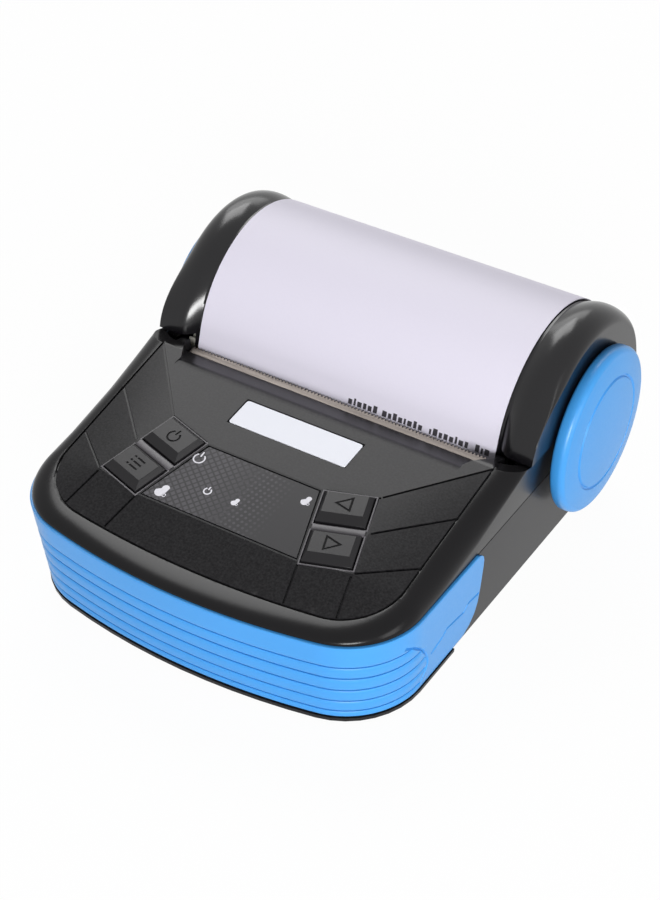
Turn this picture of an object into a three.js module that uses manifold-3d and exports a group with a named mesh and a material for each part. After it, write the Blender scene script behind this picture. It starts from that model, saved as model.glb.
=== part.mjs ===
// Wireless thermal receipt printer: a sloped key panel in front, a hinged paper cover between
// two glossy arches behind it, a ribbed bumper round the front and a round grip on each side.
// Millimetres. +X is the right hand of the user, +Y runs back and +Z up.
// The origin is the centre of the footprint, on the ground.

import * as THREE from 'three';
import { mergeVertices } from 'three/addons/utils/BufferGeometryUtils.js';
import Module from 'manifold-3d';

const wasm = await Module();
wasm.setup();

// Driving dimensions of the whole printer
const paperWidth = 79.5;
const paperThickness = 0.2;
const paperHalf = paperWidth / 2;
const paperSideGap = 0.6;
const archWidth = 9.35;
const coverHalf = paperHalf + paperSideGap + archWidth;
const bodyLength = 119;
const bodyFront = -bodyLength / 2;
const bodyBack = bodyLength / 2;
const footHeight = 0.8;
const partingHeight = 24.5;
const seamHeight = 34.1;
const seamGap = 0.5;
const tearSetback = 51.5;
const tearY = bodyBack - tearSetback;

// Walls and fits shared by all pieces
const wall = 1.7;
const fit = 0.3;
const halfFit = fit / 2;
const overrun = 4;
const roundSides = 24;
const smallSides = 12;

// Plan of the body: a shallow arc in front, round corners and drafted sides
const floorHalf = 46.6;
const sideDraft = 0.08;
const bumperProud = 0.6;
const bumperBulge = 3.5;
const floorFront = bodyFront + bumperBulge;
const frontDraft = (floorFront - bodyFront - bumperProud) / partingHeight;
const frontArc = 157;
const cornerShare = 0.15126;
const cornerRadius = bodyLength * cornerShare;
const backDraft = 0.03;
const backCorner = 7;
const frontArcSteps = 5;
const cornerSteps = 8;
const backSteps = 4;

// Cover cylinder that the printed paper lies on, between the arches
const coverRadius = 26.2;
const coverSetback = 1.25;
const coverAxisY = tearY + coverSetback + coverRadius;
const coverAxisZ = 28.2;
const troughHalf = paperHalf + paperSideGap;

// Hinge along the rear edge
const barrelRadius = 3;
const hingeY = bodyBack - barrelRadius - halfFit;
const hingeZ = 27.5;
const pinRadius = 1.2;
const coverPlayBelow = 3.5;

// Paper roll in its bin
const rollRadius = 17;
const binWall = 1.2;
const floorTop = footHeight + wall;
const rollAxisZ = floorTop + fit + binWall + fit + rollRadius;
const rollSetback = 0.85;
const rollAxisY = coverAxisY + rollSetback;

// Platen in the cover, and the gear train that turns it
const platenRadius = 5;
const platenSetback = 5.7;
const platenY = tearY + platenSetback;
const platenZ = 24.5;
const shaftRadius = 1.5;
const cheekInner = paperHalf + 0.5 * paperSideGap + fit;
const cheekThickness = 1.3;
const cheekOuter = cheekInner + cheekThickness;
const plateInner = cheekOuter + fit;
const plateThickness = 1;
const plateOuter = plateInner + plateThickness;
const gearWidth = 1.8;
const gearInner = plateOuter + fit;
const gearOuter = gearInner + gearWidth;

// Small maths
const degrees = Math.PI / 180;
const lerp = (a, b, t) => a + (b - a) * t;
const clamp01 = (t) => Math.min(1, Math.max(0, t));
const smooth = (t) => clamp01(t) * clamp01(t) * (3 - 2 * clamp01(t));

const bodyHalf = (z) => floorHalf + sideDraft * z;
const bodyFrontAt = (z) => floorFront - frontDraft * z;

// A closed geometry becomes a solid once only its merged positions are left
function solidOf(geometry) {
  const bare = geometry.index ? geometry.toNonIndexed() : geometry.clone();
  for (const name of Object.keys(bare.attributes)) {
    if (name !== 'position') bare.deleteAttribute(name);
  }
  const merged = mergeVertices(bare, 1e-4);
  return new wasm.Manifold(new wasm.Mesh({
    numProp: 3,
    vertProperties: new Float32Array(merged.attributes.position.array),
    triVerts: new Uint32Array(merged.index.array),
  }));
}

function geometryOf(solid) {
  const mesh = solid.getMesh();
  const count = mesh.vertProperties.length / mesh.numProp;
  const positions = new Float32Array(count * 3);
  for (let i = 0; i < count; i += 1) {
    for (let k = 0; k < 3; k += 1) positions[3 * i + k] = mesh.vertProperties[mesh.numProp * i + k];
  }
  const geometry = new THREE.BufferGeometry();
  geometry.setAttribute('position', new THREE.BufferAttribute(positions, 3));
  geometry.setIndex(new THREE.BufferAttribute(new Uint32Array(mesh.triVerts), 1));
  geometry.computeVertexNormals();
  return geometry;
}

const joined = (solids) => solids.reduce((sum, next) => sum.add(next));
const cut = (solid, tools) => tools.reduce((rest, tool) => rest.subtract(tool), solid);

// Ranges are [low, high]
function block(x, y, z) {
  const geometry = new THREE.BoxGeometry(x[1] - x[0], y[1] - y[0], z[1] - z[0]);
  geometry.translate((x[0] + x[1]) / 2, (y[0] + y[1]) / 2, (z[0] + z[1]) / 2);
  return solidOf(geometry);
}

function rodX(radius, x, y, z, sides = roundSides) {
  const geometry = new THREE.CylinderGeometry(radius, radius, x[1] - x[0], sides);
  geometry.rotateZ(-Math.PI / 2);
  geometry.translate((x[0] + x[1]) / 2, y, z);
  return solidOf(geometry);
}

function rodZ(radius, x, y, z, sides = roundSides) {
  const geometry = new THREE.CylinderGeometry(radius, radius, z[1] - z[0], sides);
  geometry.rotateX(Math.PI / 2);
  geometry.translate(x, y, (z[0] + z[1]) / 2);
  return solidOf(geometry);
}

// A flat outline of [y, z] pairs, drawn out along X
function plateX(outline, x) {
  const shape = new THREE.Shape(outline.map(([y, z]) => new THREE.Vector2(y, z)));
  const geometry = new THREE.ExtrudeGeometry(shape, { depth: x[1] - x[0], bevelEnabled: false });
  geometry.applyMatrix4(new THREE.Matrix4().set(0, 0, 1, x[0], 1, 0, 0, 0, 0, 1, 0, 0, 0, 0, 0, 1));
  return solidOf(geometry);
}

// A flat outline of [x, y] pairs, drawn up along Z
function plateZ(outline, z) {
  const shape = new THREE.Shape(outline.map(([x, y]) => new THREE.Vector2(x, y)));
  const geometry = new THREE.ExtrudeGeometry(shape, { depth: z[1] - z[0], bevelEnabled: false });
  geometry.translate(0, 0, z[0]);
  return solidOf(geometry);
}

// Rings with as many points each, ordered anticlockwise about the loft's axis
function loft(rings, toVector, capTop) {
  const positions = [];
  const indices = [];
  const count = rings[0].length;
  const add = (point) => positions.push(toVector(point)) - 1;
  rings.forEach((ring) => ring.forEach(add));
  for (let r = 0; r + 1 < rings.length; r += 1) {
    for (let i = 0; i < count; i += 1) {
      const a = r * count + i;
      const b = r * count + ((i + 1) % count);
      indices.push([a, b, b + count], [a, b + count, a + count]);
    }
  }
  const last = (rings.length - 1) * count;
  const fan = (ring, start, order) => {
    const middle = add([0, 1, 2].map((k) => ring.reduce((sum, point) => sum + point[k], 0) / count));
    ring.forEach((point, i) => indices.push(order([start + i, start + ((i + 1) % count), middle])));
  };
  fan(rings[0], 0, ([a, b, c]) => [b, a, c]);
  if (capTop) capTop(add, last, indices);
  else fan(rings.at(-1), last, (triangle) => triangle);
  const geometry = new THREE.BufferGeometry();
  geometry.setAttribute('position', new THREE.Float32BufferAttribute(
    indices.flat().flatMap((i) => positions[i]), 3));
  return solidOf(geometry);
}

const upright = ([x, y, z]) => [x, y, z];
const sideways = ([y, z, x]) => [x, y, z];

// Both sides are alike: a solid and its mirror image across X = 0
function mirrored(solid) {
  const geometry = geometryOf(solid);
  const index = geometry.index.array;
  for (let i = 0; i < index.length; i += 3) [index[i], index[i + 1]] = [index[i + 1], index[i]];
  geometry.scale(-1, 1, 1);
  return solidOf(geometry);
}

const bothSides = (solid) => [solid, mirrored(solid)];

// Plan outline, anticlockwise from the middle of the front
function planOutline({ half, front, arc, corner, back, rearCorner, stops = [] }) {
  const cornerX = half - corner;
  const arcY = front + arc;
  const cornerY = arcY - Math.sqrt((arc - corner) ** 2 - cornerX ** 2);
  const tangent = Math.atan2(cornerX, arcY - cornerY);
  const right = [];
  for (let i = 1; i <= frontArcSteps; i += 1) {
    const t = (tangent * i) / frontArcSteps;
    right.push([arc * Math.sin(t), arcY - arc * Math.cos(t)]);
  }
  for (let i = 1; i <= cornerSteps; i += 1) {
    const t = lerp(tangent - Math.PI / 2, 0, i / cornerSteps);
    right.push([cornerX + corner * Math.cos(t), cornerY + corner * Math.sin(t)]);
  }
  stops.forEach((y) => right.push([half, y]));
  if (rearCorner) {
    for (let i = 0; i <= backSteps; i += 1) {
      const t = (Math.PI / 2) * (i / backSteps);
      right.push([
        half - rearCorner + rearCorner * Math.cos(t), back - rearCorner + rearCorner * Math.sin(t)]);
    }
  } else right.push([half, back]);
  const left = right.map(([x, y]) => [-x, y]).reverse();
  return [[0, front], ...right, ...left];
}

// Body plan at height z, moved outwards by grow
function bodyPlan(z, grow, options) {
  return planOutline({
    half: bodyHalf(z) + grow,
    front: bodyFrontAt(z) - grow,
    arc: frontArc + grow,
    corner: cornerRadius + grow,
    ...options,
  });
}

// Panel outline, lower than the keys round its edge
const outlineHalf = 43.85;
const outlineInset = 7.2;
const outlineFront = bodyFront + outlineInset;
const outlineArc = 240;
const ridgeInset = 7.3;
const ridgeY = tearY - ridgeInset;
const ridgeZ = 36.2;
const edgeSlope = 0.186;
const edgeZ = (y) => ridgeZ + edgeSlope * (y - ridgeY);

// Places on the panel: across is a share of its half width, along a share of its depth
const panelDepth = ridgeY - outlineFront;
const outlineCornerShare = 0.2698;
const outlineCorner = panelDepth * outlineCornerShare;
const place = ([acrossShare, alongShare]) => [
  outlineHalf * acrossShare, outlineFront + panelDepth * alongShare];
const keyBackShare = 0.5623;
const keyCornerShares = { outerBack: [0.618, 0.6321], innerBack: [0.3466, keyBackShare] };
const keyEdgeShares = {
  middle: [0.6864, 0.4453], outerFront: [0.7434, 0.2472], innerFront: [0.4766, 0.2019],
};
const frontSplitShares = { outer: [0.7959, 0.066], inner: [0.5245, 0.0321] };
const sideSplitShares = [0.4226, 0.7057];
const placeAll = (shares) => Object.fromEntries(
  Object.entries(shares).map(([name, share]) => [name, place(share)]));

// Key panel: planes that the housing, keys, film and board all follow
const panelSlope = 0.19;
const labelSlope = 0.097;
const panelTilt = Math.atan(panelSlope);
const labelTilt = Math.atan(labelSlope);
const keyBackY = place([0, keyBackShare])[1];
const keyBackZ = 33.9;
const panelZ = (y) => keyBackZ + panelSlope * (y - keyBackY);
const labelZ = (y) => keyBackZ + labelSlope * (y - keyBackY);

// Corners of the raised key area, right side
const keyCorner = placeAll(keyCornerShares);
const keyEdge = placeAll(keyEdgeShares);
const frontSplit = placeAll(frontSplitShares);

// Rim between the panel outline and the side wall
const rimDrop = 5.2;
const rimDropAtSeam = 2.2;
const rimEaseShare = 0.7038;
const rimEaseFrom = outlineFront + panelDepth * rimEaseShare;
const rimSteps = 4;
const panelOverBar = 0.5;
const blockBack = tearY + panelOverBar;
const sideSplitYs = [...sideSplitShares.map((share) => place([1, share])[1]), ridgeY, blockBack];
const housingBottom = partingHeight + halfFit;
const prongInset = 13.3;
const prongBack = bodyBack - prongInset;

function rimHeight(y) {
  const ease = clamp01((y - rimEaseFrom) / (blockBack - rimEaseFrom));
  const drop = lerp(rimDrop, rimDropAtSeam, ease);
  return Math.min(drop, edgeZ(y) - housingBottom - halfFit);
}

// Solid under the panel surface, moved inwards and down by inset
function panelBlock(inset, bottom) {
  const back = inset ? prongBack + overrun : prongBack;
  const options = { back, stops: sideSplitYs };
  const low = bodyPlan(partingHeight, -inset, options);
  const high = bodyPlan(seamHeight, -inset, options);
  const inner = planOutline({
    half: outlineHalf - inset,
    front: outlineFront + inset,
    arc: outlineArc,
    corner: outlineCorner,
    ...options,
  });
  const outerAt = (i, z) => {
    const t = (z - partingHeight) / (seamHeight - partingHeight);
    return [lerp(low[i][0], high[i][0], t), lerp(low[i][1], high[i][1], t)];
  };
  const rings = [low.map(([x, y]) => [x, y, bottom])];
  for (let s = 0; s <= rimSteps; s += 1) {
    const turn = (Math.PI / 2) * (s / rimSteps);
    rings.push(inner.map(([x, y], i) => {
      const foot = edgeZ(y) - rimHeight(y);
      const [ox, oy] = outerAt(i, foot);
      const reach = Math.cos(turn);
      return [lerp(x, ox, reach), lerp(y, oy, reach), foot + rimHeight(y) * Math.sin(turn) - inset];
    }));
  }
  return loft(rings, upright, (add, first, indices) => {
    const count = inner.length;
    const flat = [];
    inner.forEach(([x, y], i) => { flat[first + i] = new THREE.Vector2(x, y); });
    const point = ([x, y], side, height) => {
      const index = add([side * x, y, height(y) - inset]);
      flat[index] = new THREE.Vector2(side * x, y);
      return index;
    };
    const face = (corners) => {
      THREE.ShapeUtils.triangulateShape(corners.map((i) => flat[i]), [])
        .forEach(([a, b, c]) => indices.push([corners[a], corners[b], corners[c]]));
    };
    const nearest = ([x, y]) => {
      const gap = inner.map(([u, v]) => (u - x) ** 2 + (v - y) ** 2);
      return gap.indexOf(Math.min(...gap));
    };
    const mirrorIndex = (i) => (count - i) % count;
    const stop = (k) => frontArcSteps + cornerSteps + 1 + k;
    const run = (from, to) => Array.from({ length: to - from + 1 }, (_, k) => first + from + k);
    const outer = nearest(frontSplit.outer);
    const near = nearest(frontSplit.inner);
    const corners = {};
    for (const side of [1, -1]) {
      corners[side] = {
        a: point(keyCorner.outerBack, side, labelZ),
        b: point(keyCorner.innerBack, side, labelZ),
        e: point(keyEdge.middle, side, panelZ),
        c: point(keyEdge.outerFront, side, panelZ),
        d: point(keyEdge.innerFront, side, panelZ),
      };
    }
    const R = corners[1];
    const L = corners[-1];
    const at = (i, side) => first + (side > 0 ? i : mirrorIndex(i));
    for (const side of [1, -1]) {
      const { a, e, c, d } = corners[side];
      const facet = (list) => face(side > 0 ? list : [...list].reverse());
      const ringRun = (from, to) => run(from, to).map((i) => at(i - first, side));
      facet([a, e, at(stop(1), side), at(stop(2), side)]);
      facet([e, c, at(stop(0), side), at(stop(1), side)]);
      facet([c, ...ringRun(outer, stop(0))]);
      facet([c, d, ...ringRun(near, outer)]);
    }
    const frontRun = [...run(0, near).reverse(), ...run(mirrorIndex(near), count - 1).reverse()];
    face([L.d, ...frontRun.reverse(), R.d]);
    face([L.b, L.a, L.e, L.c, L.d, R.d, R.c, R.e, R.a, R.b]);
    face([L.a, L.b, R.b, R.a, at(stop(2), 1), at(stop(3), 1), at(stop(3), -1), at(stop(2), -1)]);
    face([at(stop(3), -1), at(stop(3), 1), at(stop(4), 1), at(stop(4), -1)]);
  });
}

// Frames that the keys, film, board and label are built in: z is the height above the panel
const panelFrame = new THREE.Group();
const panelMidShare = 0.383;
const panelMidY = outlineFront + panelDepth * panelMidShare;
panelFrame.position.set(0, panelMidY, panelZ(panelMidY));
panelFrame.rotation.x = panelTilt;
const labelFrame = new THREE.Group();
const labelMidShare = 0.7906;
const labelMidY = outlineFront + panelDepth * labelMidShare;
labelFrame.position.set(0, labelMidY, labelZ(labelMidY));
labelFrame.rotation.x = labelTilt;
const panelY = (y) => (y - panelMidY) / Math.cos(panelTilt);
const onPanel = (shares) => {
  const [x, y] = place(shares);
  return [x, panelY(y)];
};

function placedIn(frame, solid) {
  frame.updateMatrix();
  const geometry = geometryOf(solid);
  geometry.applyMatrix4(frame.matrix);
  return solidOf(geometry);
}

// Keys: two columns of two, each column turned with the edge of the key area
const keyWidth = 11.1;
const keyPitchShare = 0.2094;
const keyPitch = panelDepth * keyPitchShare;
const keySpacingShare = 0.2343;
const keyDepth = keyPitch * (1 - keySpacingShare);
const keyTurn = 16.6 * degrees;
const keyColumnShares = [0.545, 0.4094];
const [keyColumnX, keyColumnY] = onPanel(keyColumnShares);
const keyProud = 1.6;
const keyTravel = 0.5;
const keySlots = [
  { name: 'power', side: -1, row: 1 },
  { name: 'menu', side: -1, row: -1 },
  { name: 'back', side: 1, row: 1 },
  { name: 'feed', side: 1, row: -1 },
];

function keyPlace({ side, row }) {
  const along = (row * keyPitch) / 2;
  return {
    x: side * (keyColumnX - along * Math.sin(keyTurn)),
    y: keyColumnY + along * Math.cos(keyTurn),
    turn: side * keyTurn,
  };
}

// A rectangle in the key's own frame, between two heights, with its own size at each
function keyLoft(low, high) {
  const ring = ({ half, front, back, z }) => [[-half, -front], [half, -front], [half, back], [-half, back]]
    .map(([x, y]) => [x, y, z]);
  return loft([ring(low), ring(high)], upright);
}

function keyPlaced(solid, slot) {
  const { x, y, turn } = keyPlace(slot);
  const geometry = geometryOf(solid);
  geometry.rotateZ(turn);
  geometry.translate(x, y, 0);
  return solidOf(geometry);
}

const keyBox = (grow, z) => keyLoft(
  { half: keyWidth / 2 + grow, front: keyDepth / 2 + grow, back: keyDepth / 2 + grow, z: z[0] },
  { half: keyWidth / 2 + grow, front: keyDepth / 2 + grow, back: keyDepth / 2 + grow, z: z[1] },
);

// Heights under the panel surface, from the key's flange down to the board
const flangeTop = -wall - fit;
const flangeThickness = 0.8;
const stemLength = 0.8;
const stemBottom = flangeTop - flangeThickness - stemLength;
const plungerTop = stemBottom - keyTravel - fit;
const plungerHeight = 0.5;
const switchHeight = 1.5;
const boardTop = plungerTop - plungerHeight - switchHeight - halfFit;
const boardThickness = 1.2;
const boardBackShares = [0.707, 0.5943];
const boardFrontShare = 0.1642;
const [boardHalf, boardBack] = onPanel(boardBackShares);
const boardFront = onPanel([0, boardFrontShare])[1];

// Film, lamps, posts and screws between the key columns
const filmThickness = 0.4;
const filmRecess = 0.5;
const filmShares = { back: [0.3284, 0.5491], front: [0.4561, 0.2151] };
const filmEdge = { back: onPanel(filmShares.back), front: onPanel(filmShares.front) };
const lampRadius = 1.5;
const outerLampShares = [0.3238, 0.3151];
const innerLampShares = [0.1003, 0.3377];
const outerLamp = onPanel(outerLampShares);
const innerLamp = onPanel(innerLampShares);
const lampPlaces = [[-outerLamp[0], outerLamp[1]], [-innerLamp[0], innerLamp[1]], innerLamp, outerLamp];
const postRadius = 2.2;
const backPostShares = [-0.1938, 0.4774];
const frontPostShares = [0.1938, 0.2132];
const boardPosts = [onPanel(backPostShares), onPanel(frontPostShares)];
const boardScrewRadius = 0.9;

function filmOutline(grow) {
  return [
    [-filmEdge.back[0] - grow, filmEdge.back[1] + grow],
    [-filmEdge.front[0] - grow, filmEdge.front[1] - grow],
    [filmEdge.front[0] + grow, filmEdge.front[1] - grow],
    [filmEdge.back[0] + grow, filmEdge.back[1] + grow],
  ];
}

// Label plate in its recess
const labelHalfShare = 0.348;
const labelDepthShare = 0.1509;
const labelHalf = outlineHalf * labelHalfShare;
const labelDepth = panelDepth * labelDepthShare;
const labelCorner = 0.6;
const labelThickness = 0.8;
const labelCornerSteps = 3;

function labelOutline(grow) {
  const points = [];
  const half = labelHalf + grow;
  const reach = labelDepth / 2 + grow;
  for (const [sx, sy, turns] of [[1, -1, -1], [1, 1, 0], [-1, 1, 1], [-1, -1, 2]]) {
    for (let i = 0; i <= labelCornerSteps; i += 1) {
      const t = (Math.PI / 2) * (turns + i / labelCornerSteps);
      points.push([
        sx * (half - labelCorner) + labelCorner * Math.cos(t),
        sy * (reach - labelCorner) + labelCorner * Math.sin(t),
      ]);
    }
  }
  return points;
}

// Panel lines: a groove round the outline and one along each facet edge
const grooveWidth = 0.7;
const grooveDepth = 0.45;
const grooveStart = 1;
const grooveOver = 0.15;

function outlineGroove() {
  const band = (grow) => planOutline({
    half: outlineHalf + grow,
    front: outlineFront - grow,
    arc: outlineArc + grow,
    corner: outlineCorner + grow,
    back: ridgeY + overrun,
    stops: sideSplitYs.slice(0, 2),
  });
  const wide = band(grooveWidth / 2);
  const narrow = band(-grooveWidth / 2);
  const rings = (ring) => [
    ring.map(([x, y]) => [x, y, edgeZ(y) - grooveDepth]),
    ring.map(([x, y]) => [x, y, edgeZ(y) + overrun]),
  ];
  const low = (ring) => {
    const [bottom, top] = rings(ring);
    return loft([bottom.map(([x, y, z]) => [x, y, z - overrun]), top], upright);
  };
  return loft(rings(wide), upright).subtract(low(narrow));
}

function facetGroove(from, fromZ, [x1, y1], z1) {
  const span = Math.hypot(x1 - from[0], y1 - from[1]);
  const [start, end] = [grooveStart / span, 1 + grooveOver / span];
  const [x0, y0, z0] = [lerp(from[0], x1, start), lerp(from[1], y1, start), lerp(fromZ, z1, start)];
  const [x2, y2, z2] = [lerp(from[0], x1, end), lerp(from[1], y1, end), lerp(fromZ, z1, end)];
  const length = Math.hypot(x2 - x0, y2 - y0, z2 - z0);
  const geometry = new THREE.BoxGeometry(length, grooveWidth, 2 * grooveDepth);
  geometry.rotateY(-Math.asin((z2 - z0) / length));
  geometry.rotateZ(Math.atan2(y2 - y0, x2 - x0));
  geometry.translate((x0 + x2) / 2, (y0 + y2) / 2, (z0 + z2) / 2);
  return solidOf(geometry);
}

function facetGrooves() {
  const onEdge = (y) => [outlineHalf, y];
  const lines = [
    [keyCorner.outerBack, labelZ, onEdge(ridgeY)],
    [keyEdge.middle, panelZ, onEdge(sideSplitYs[1])],
    [keyEdge.outerFront, panelZ, onEdge(sideSplitYs[0])],
    [keyEdge.outerFront, panelZ, frontSplit.outer],
    [keyEdge.innerFront, panelZ, frontSplit.inner],
  ];
  return lines.flatMap(([from, height, to]) => bothSides(
    facetGroove(from, height(from[1]), to, edgeZ(to[1]))));
}

// Slope that rolls off the label facet down to the tear bar, and the shelf that the bar lies on
const notchMargin = 0.8;
const notchHalf = troughHalf + notchMargin;
const slopeTopHalf = 37.3;
const slopeSetbacks = { rollFront: 12, rollMiddle: 10.6, top: 9.3, shelf: 2.4 };
const rollFront = tearY - slopeSetbacks.rollFront;
const rollMiddle = tearY - slopeSetbacks.rollMiddle;
const slopeTop = tearY - slopeSetbacks.top;
const rollDrops = [0.12, 0.5];
const shelfY = tearY - slopeSetbacks.shelf;
const shelfZ = 30.9;
const slopeFootZ = 32;
const slopeShiftShare = 0.75;

function slopeCut(wider, drop, back) {
  const shift = drop * slopeShiftShare;
  const high = ridgeZ + 2 * overrun;
  const profile = plateX([
    [rollFront - shift, labelZ(rollFront) - drop],
    [rollMiddle - shift, labelZ(rollMiddle) - rollDrops[0] - drop],
    [slopeTop - shift, labelZ(slopeTop) - rollDrops[1] - drop],
    [shelfY - shift, slopeFootZ - drop],
    [shelfY - shift, shelfZ - drop],
    [back, shelfZ - drop],
    [back, high],
    [rollFront - shift, high],
  ], [-notchHalf - wider, notchHalf + wider]);
  const plan = [
    [slopeTopHalf + wider, rollFront - overrun], [slopeTopHalf + wider, slopeTop - shift],
    [notchHalf + wider, shelfY - shift], [notchHalf + wider, back + overrun],
  ];
  return profile.intersect(plateZ(
    [...plan, ...plan.map(([x, y]) => [-x, y]).reverse()], [shelfZ - drop - overrun, high + overrun]));
}

// Case screws: through the tray's columns into the housing's bosses
const screwRadius = 1;
const screwHeadRadius = 1.9;
const screwHeadHeight = 1.2;
const screwLength = 26;
const columnRadius = 2;
const frontColumnShares = [0.9236, 0.33];
const rearColumnX = 43.9;
const rearColumnInset = 6.2;
const columnPlaces = [place(frontColumnShares), [rearColumnX, prongBack - rearColumnInset]];

// Prongs: the housing's side walls beside the paper bin, with a ledge for the arches
const ledgeSetback = 13.5;
const ledgeFront = tearY + ledgeSetback;
const ledgeClear = 2;
const ledgeInner = troughHalf + ledgeClear;
const ledgeThickness = 1.8;
const gearRoomHalf = gearOuter + 2 * fit;

function buildTopHousing() {
  const ledgeAt = (inner, y) => bothSides(block(
    [inner, bodyHalf(seamHeight) - wall / 2], y, [seamHeight - ledgeThickness, seamHeight]));
  const ledges = [
    ...ledgeAt(ledgeInner, [ledgeFront, prongBack]),
    ...ledgeAt(gearRoomHalf, [tearY - wall / 2, ledgeFront + wall]),
  ];
  const bosses = columnPlaces.flatMap(([x, y], row) => bothSides(rodZ(
    row ? columnRadius : columnRadius + halfFit, x, y,
    [housingBottom, row ? seamHeight - ledgeThickness / 2 : edgeZ(y) - wall / 2], smallSides)));
  const cavity = panelBlock(wall, housingBottom - overrun)
    .subtract(slopeCut(wall, wall, tearY));
  const shell = cut(panelBlock(0, housingBottom), [
    slopeCut(0, 0, prongBack),
    plateX([
      [ridgeY, ridgeZ], [tearY - fit, seamHeight], [prongBack + overrun, seamHeight],
      [prongBack + overrun, ridgeZ + prongBack], [ridgeY, ridgeZ + prongBack],
    ], [-coverHalf - overrun, coverHalf + overrun]),
    cavity,
  ]);
  const posts = boardPosts.map(([x, y]) => placedIn(panelFrame,
    rodZ(postRadius, x, y, [boardTop + fit, -wall / 2], smallSides)));
  const body = joined([shell, ...ledges, ...bosses, ...posts]);
  const keyHoles = keySlots.map((slot) => placedIn(panelFrame,
    keyPlaced(keyBox(fit, [-wall - overrun, overrun]), slot)));
  const lampHoles = lampPlaces.map(([x, y]) => placedIn(panelFrame,
    rodZ(lampRadius + fit, x, y, [-wall - overrun, overrun], smallSides)));
  const postBores = boardPosts.map(([x, y]) => placedIn(panelFrame,
    rodZ(boardScrewRadius + fit, x, y, [boardTop, -wall], smallSides)));
  const screwBores = columnPlaces.flatMap(([x, y]) => bothSides(rodZ(
    screwRadius + fit, x, y, [0, screwHeadHeight + footHeight + screwLength + fit], smallSides)));
  const film = placedIn(panelFrame, plateZ(filmOutline(fit), [-filmRecess, overrun]));
  const label = placedIn(labelFrame, plateZ(labelOutline(fit), [-labelThickness - halfFit, overrun]));
  const rearRoom = block([-ledgeInner, ledgeInner], [tearY - fit, prongBack + overrun],
    [housingBottom - overrun, seamHeight + overrun]);
  const gearRoom = block([-gearRoomHalf, gearRoomHalf], [tearY - fit, ledgeFront],
    [housingBottom - overrun, seamHeight + overrun]);
  return cut(body, [...keyHoles, ...lampHoles, ...postBores, ...screwBores, film, label, rearRoom,
    gearRoom, outlineGroove(), ...facetGrooves()]);
}

// Key cap: a bevelled plateau on a skirt, a flange under the panel and a stem for the switch
const keyFlange = 0.7;
const keyBevelSide = 0.9;
const keyBevelFront = 2;
const keySkirt = 0.5;
const stemHalf = 1.6;

function buildKey() {
  const half = keyWidth / 2;
  const deep = keyDepth / 2;
  return joined([
    keyBox(keyFlange, [flangeTop - flangeThickness, flangeTop]),
    keyBox(0, [flangeTop - flangeThickness, keySkirt]),
    keyLoft(
      { half, front: deep, back: deep, z: keySkirt },
      { half: half - keyBevelSide, front: deep - keyBevelFront, back: deep - keyBevelSide, z: keyProud }),
    block([-stemHalf, stemHalf], [-stemHalf, stemHalf], [stemBottom, flangeTop - flangeThickness / 2]),
  ]);
}

const switchHalf = 2.3;
const plungerRadius = 1.1;

function buildSwitch() {
  const base = boardTop + halfFit;
  return block([-switchHalf, switchHalf], [-switchHalf, switchHalf], [base, base + switchHeight])
    .add(rodZ(plungerRadius, 0, 0, [base + switchHeight / 2, plungerTop], smallSides));
}

function buildLamp() {
  const base = boardTop + halfFit;
  const top = -filmRecess - fit;
  const flangeReach = 0.35;
  const flange = lampRadius + flangeReach;
  const flangeHeight = 0.8;
  const shoulder = top - lampRadius;
  const profile = [[0, base], [flange, base], [flange, base + flangeHeight],
    [lampRadius, base + flangeHeight], [lampRadius, shoulder]];
  const steps = 3;
  for (let i = 1; i <= steps; i += 1) {
    const t = (Math.PI / 2) * (i / steps);
    profile.push([i === steps ? 0 : lampRadius * Math.cos(t), shoulder + lampRadius * Math.sin(t)]);
  }
  return latheZ(profile, smallSides);
}

// Turned solids: profile pairs are [radius, height]
function latheZ(profile, sides) {
  const geometry = new THREE.LatheGeometry(profile.map(([r, h]) => new THREE.Vector2(r, h)), sides);
  geometry.rotateX(Math.PI / 2);
  return solidOf(geometry);
}

function latheX(profile, sides, y, z) {
  const geometry = new THREE.LatheGeometry(profile.map(([r, h]) => new THREE.Vector2(r, h)), sides);
  geometry.rotateZ(-Math.PI / 2);
  geometry.translate(0, y, z);
  return solidOf(geometry);
}

function buildBoard() {
  const board = block([-boardHalf, boardHalf], [boardFront, boardBack],
    [boardTop - boardThickness, boardTop]);
  return cut(board, boardPosts.map(([x, y]) => rodZ(
    boardScrewRadius + fit, x, y, [boardTop - overrun, boardTop + overrun], smallSides)));
}

function screwProfile(radius, headRadius, headHeight, length) {
  return [[0, 0], [headRadius, 0], [headRadius, headHeight], [radius, headHeight],
    [radius, headHeight + length], [0, headHeight + length]];
}

// Front bumper: five ribs under a plain band, ending before smooth leaves on the sides
const bumperInset = 0.8;
const trayShow = 1.3;
const bumperBottom = footHeight + trayShow;
const bumperTop = partingHeight;
const plainBand = 6.2;
const ribCount = 5;
const ribDepth = 0.85;
const ribEndShare = 0.2604;
const ribEndY = place([1, ribEndShare])[1];
const leafBackShare = 0.7755;
const leafBack = place([1, leafBackShare])[1];
const leafReach = { tip: 3, waist: 1.2, foot: 9.3 };
const leafTip = { y: leafBack - leafReach.tip, drop: 3.4 };
const leafFoot = { y: leafBack - leafReach.foot, rise: 6.4 };
const leafWaist = { y: leafBack - leafReach.waist, riseShare: 1.6 };
const leafHeel = { y: leafTip.y, riseShare: 0.6 };
const stripProud = 0.8;
const stripHeight = 1;

function bumperLevels() {
  const ribTop = bumperTop - plainBand;
  const pitch = (ribTop - bumperBottom) / ribCount;
  const step = ribDepth / 2;
  const levels = [];
  for (let i = 0; i < ribCount; i += 1) {
    const low = bumperBottom + pitch * i;
    levels.push([low, bumperProud], [low + pitch - step, bumperProud - ribDepth]);
  }
  return [...levels, [ribTop, bumperProud], [bumperTop, bumperProud]];
}

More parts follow.
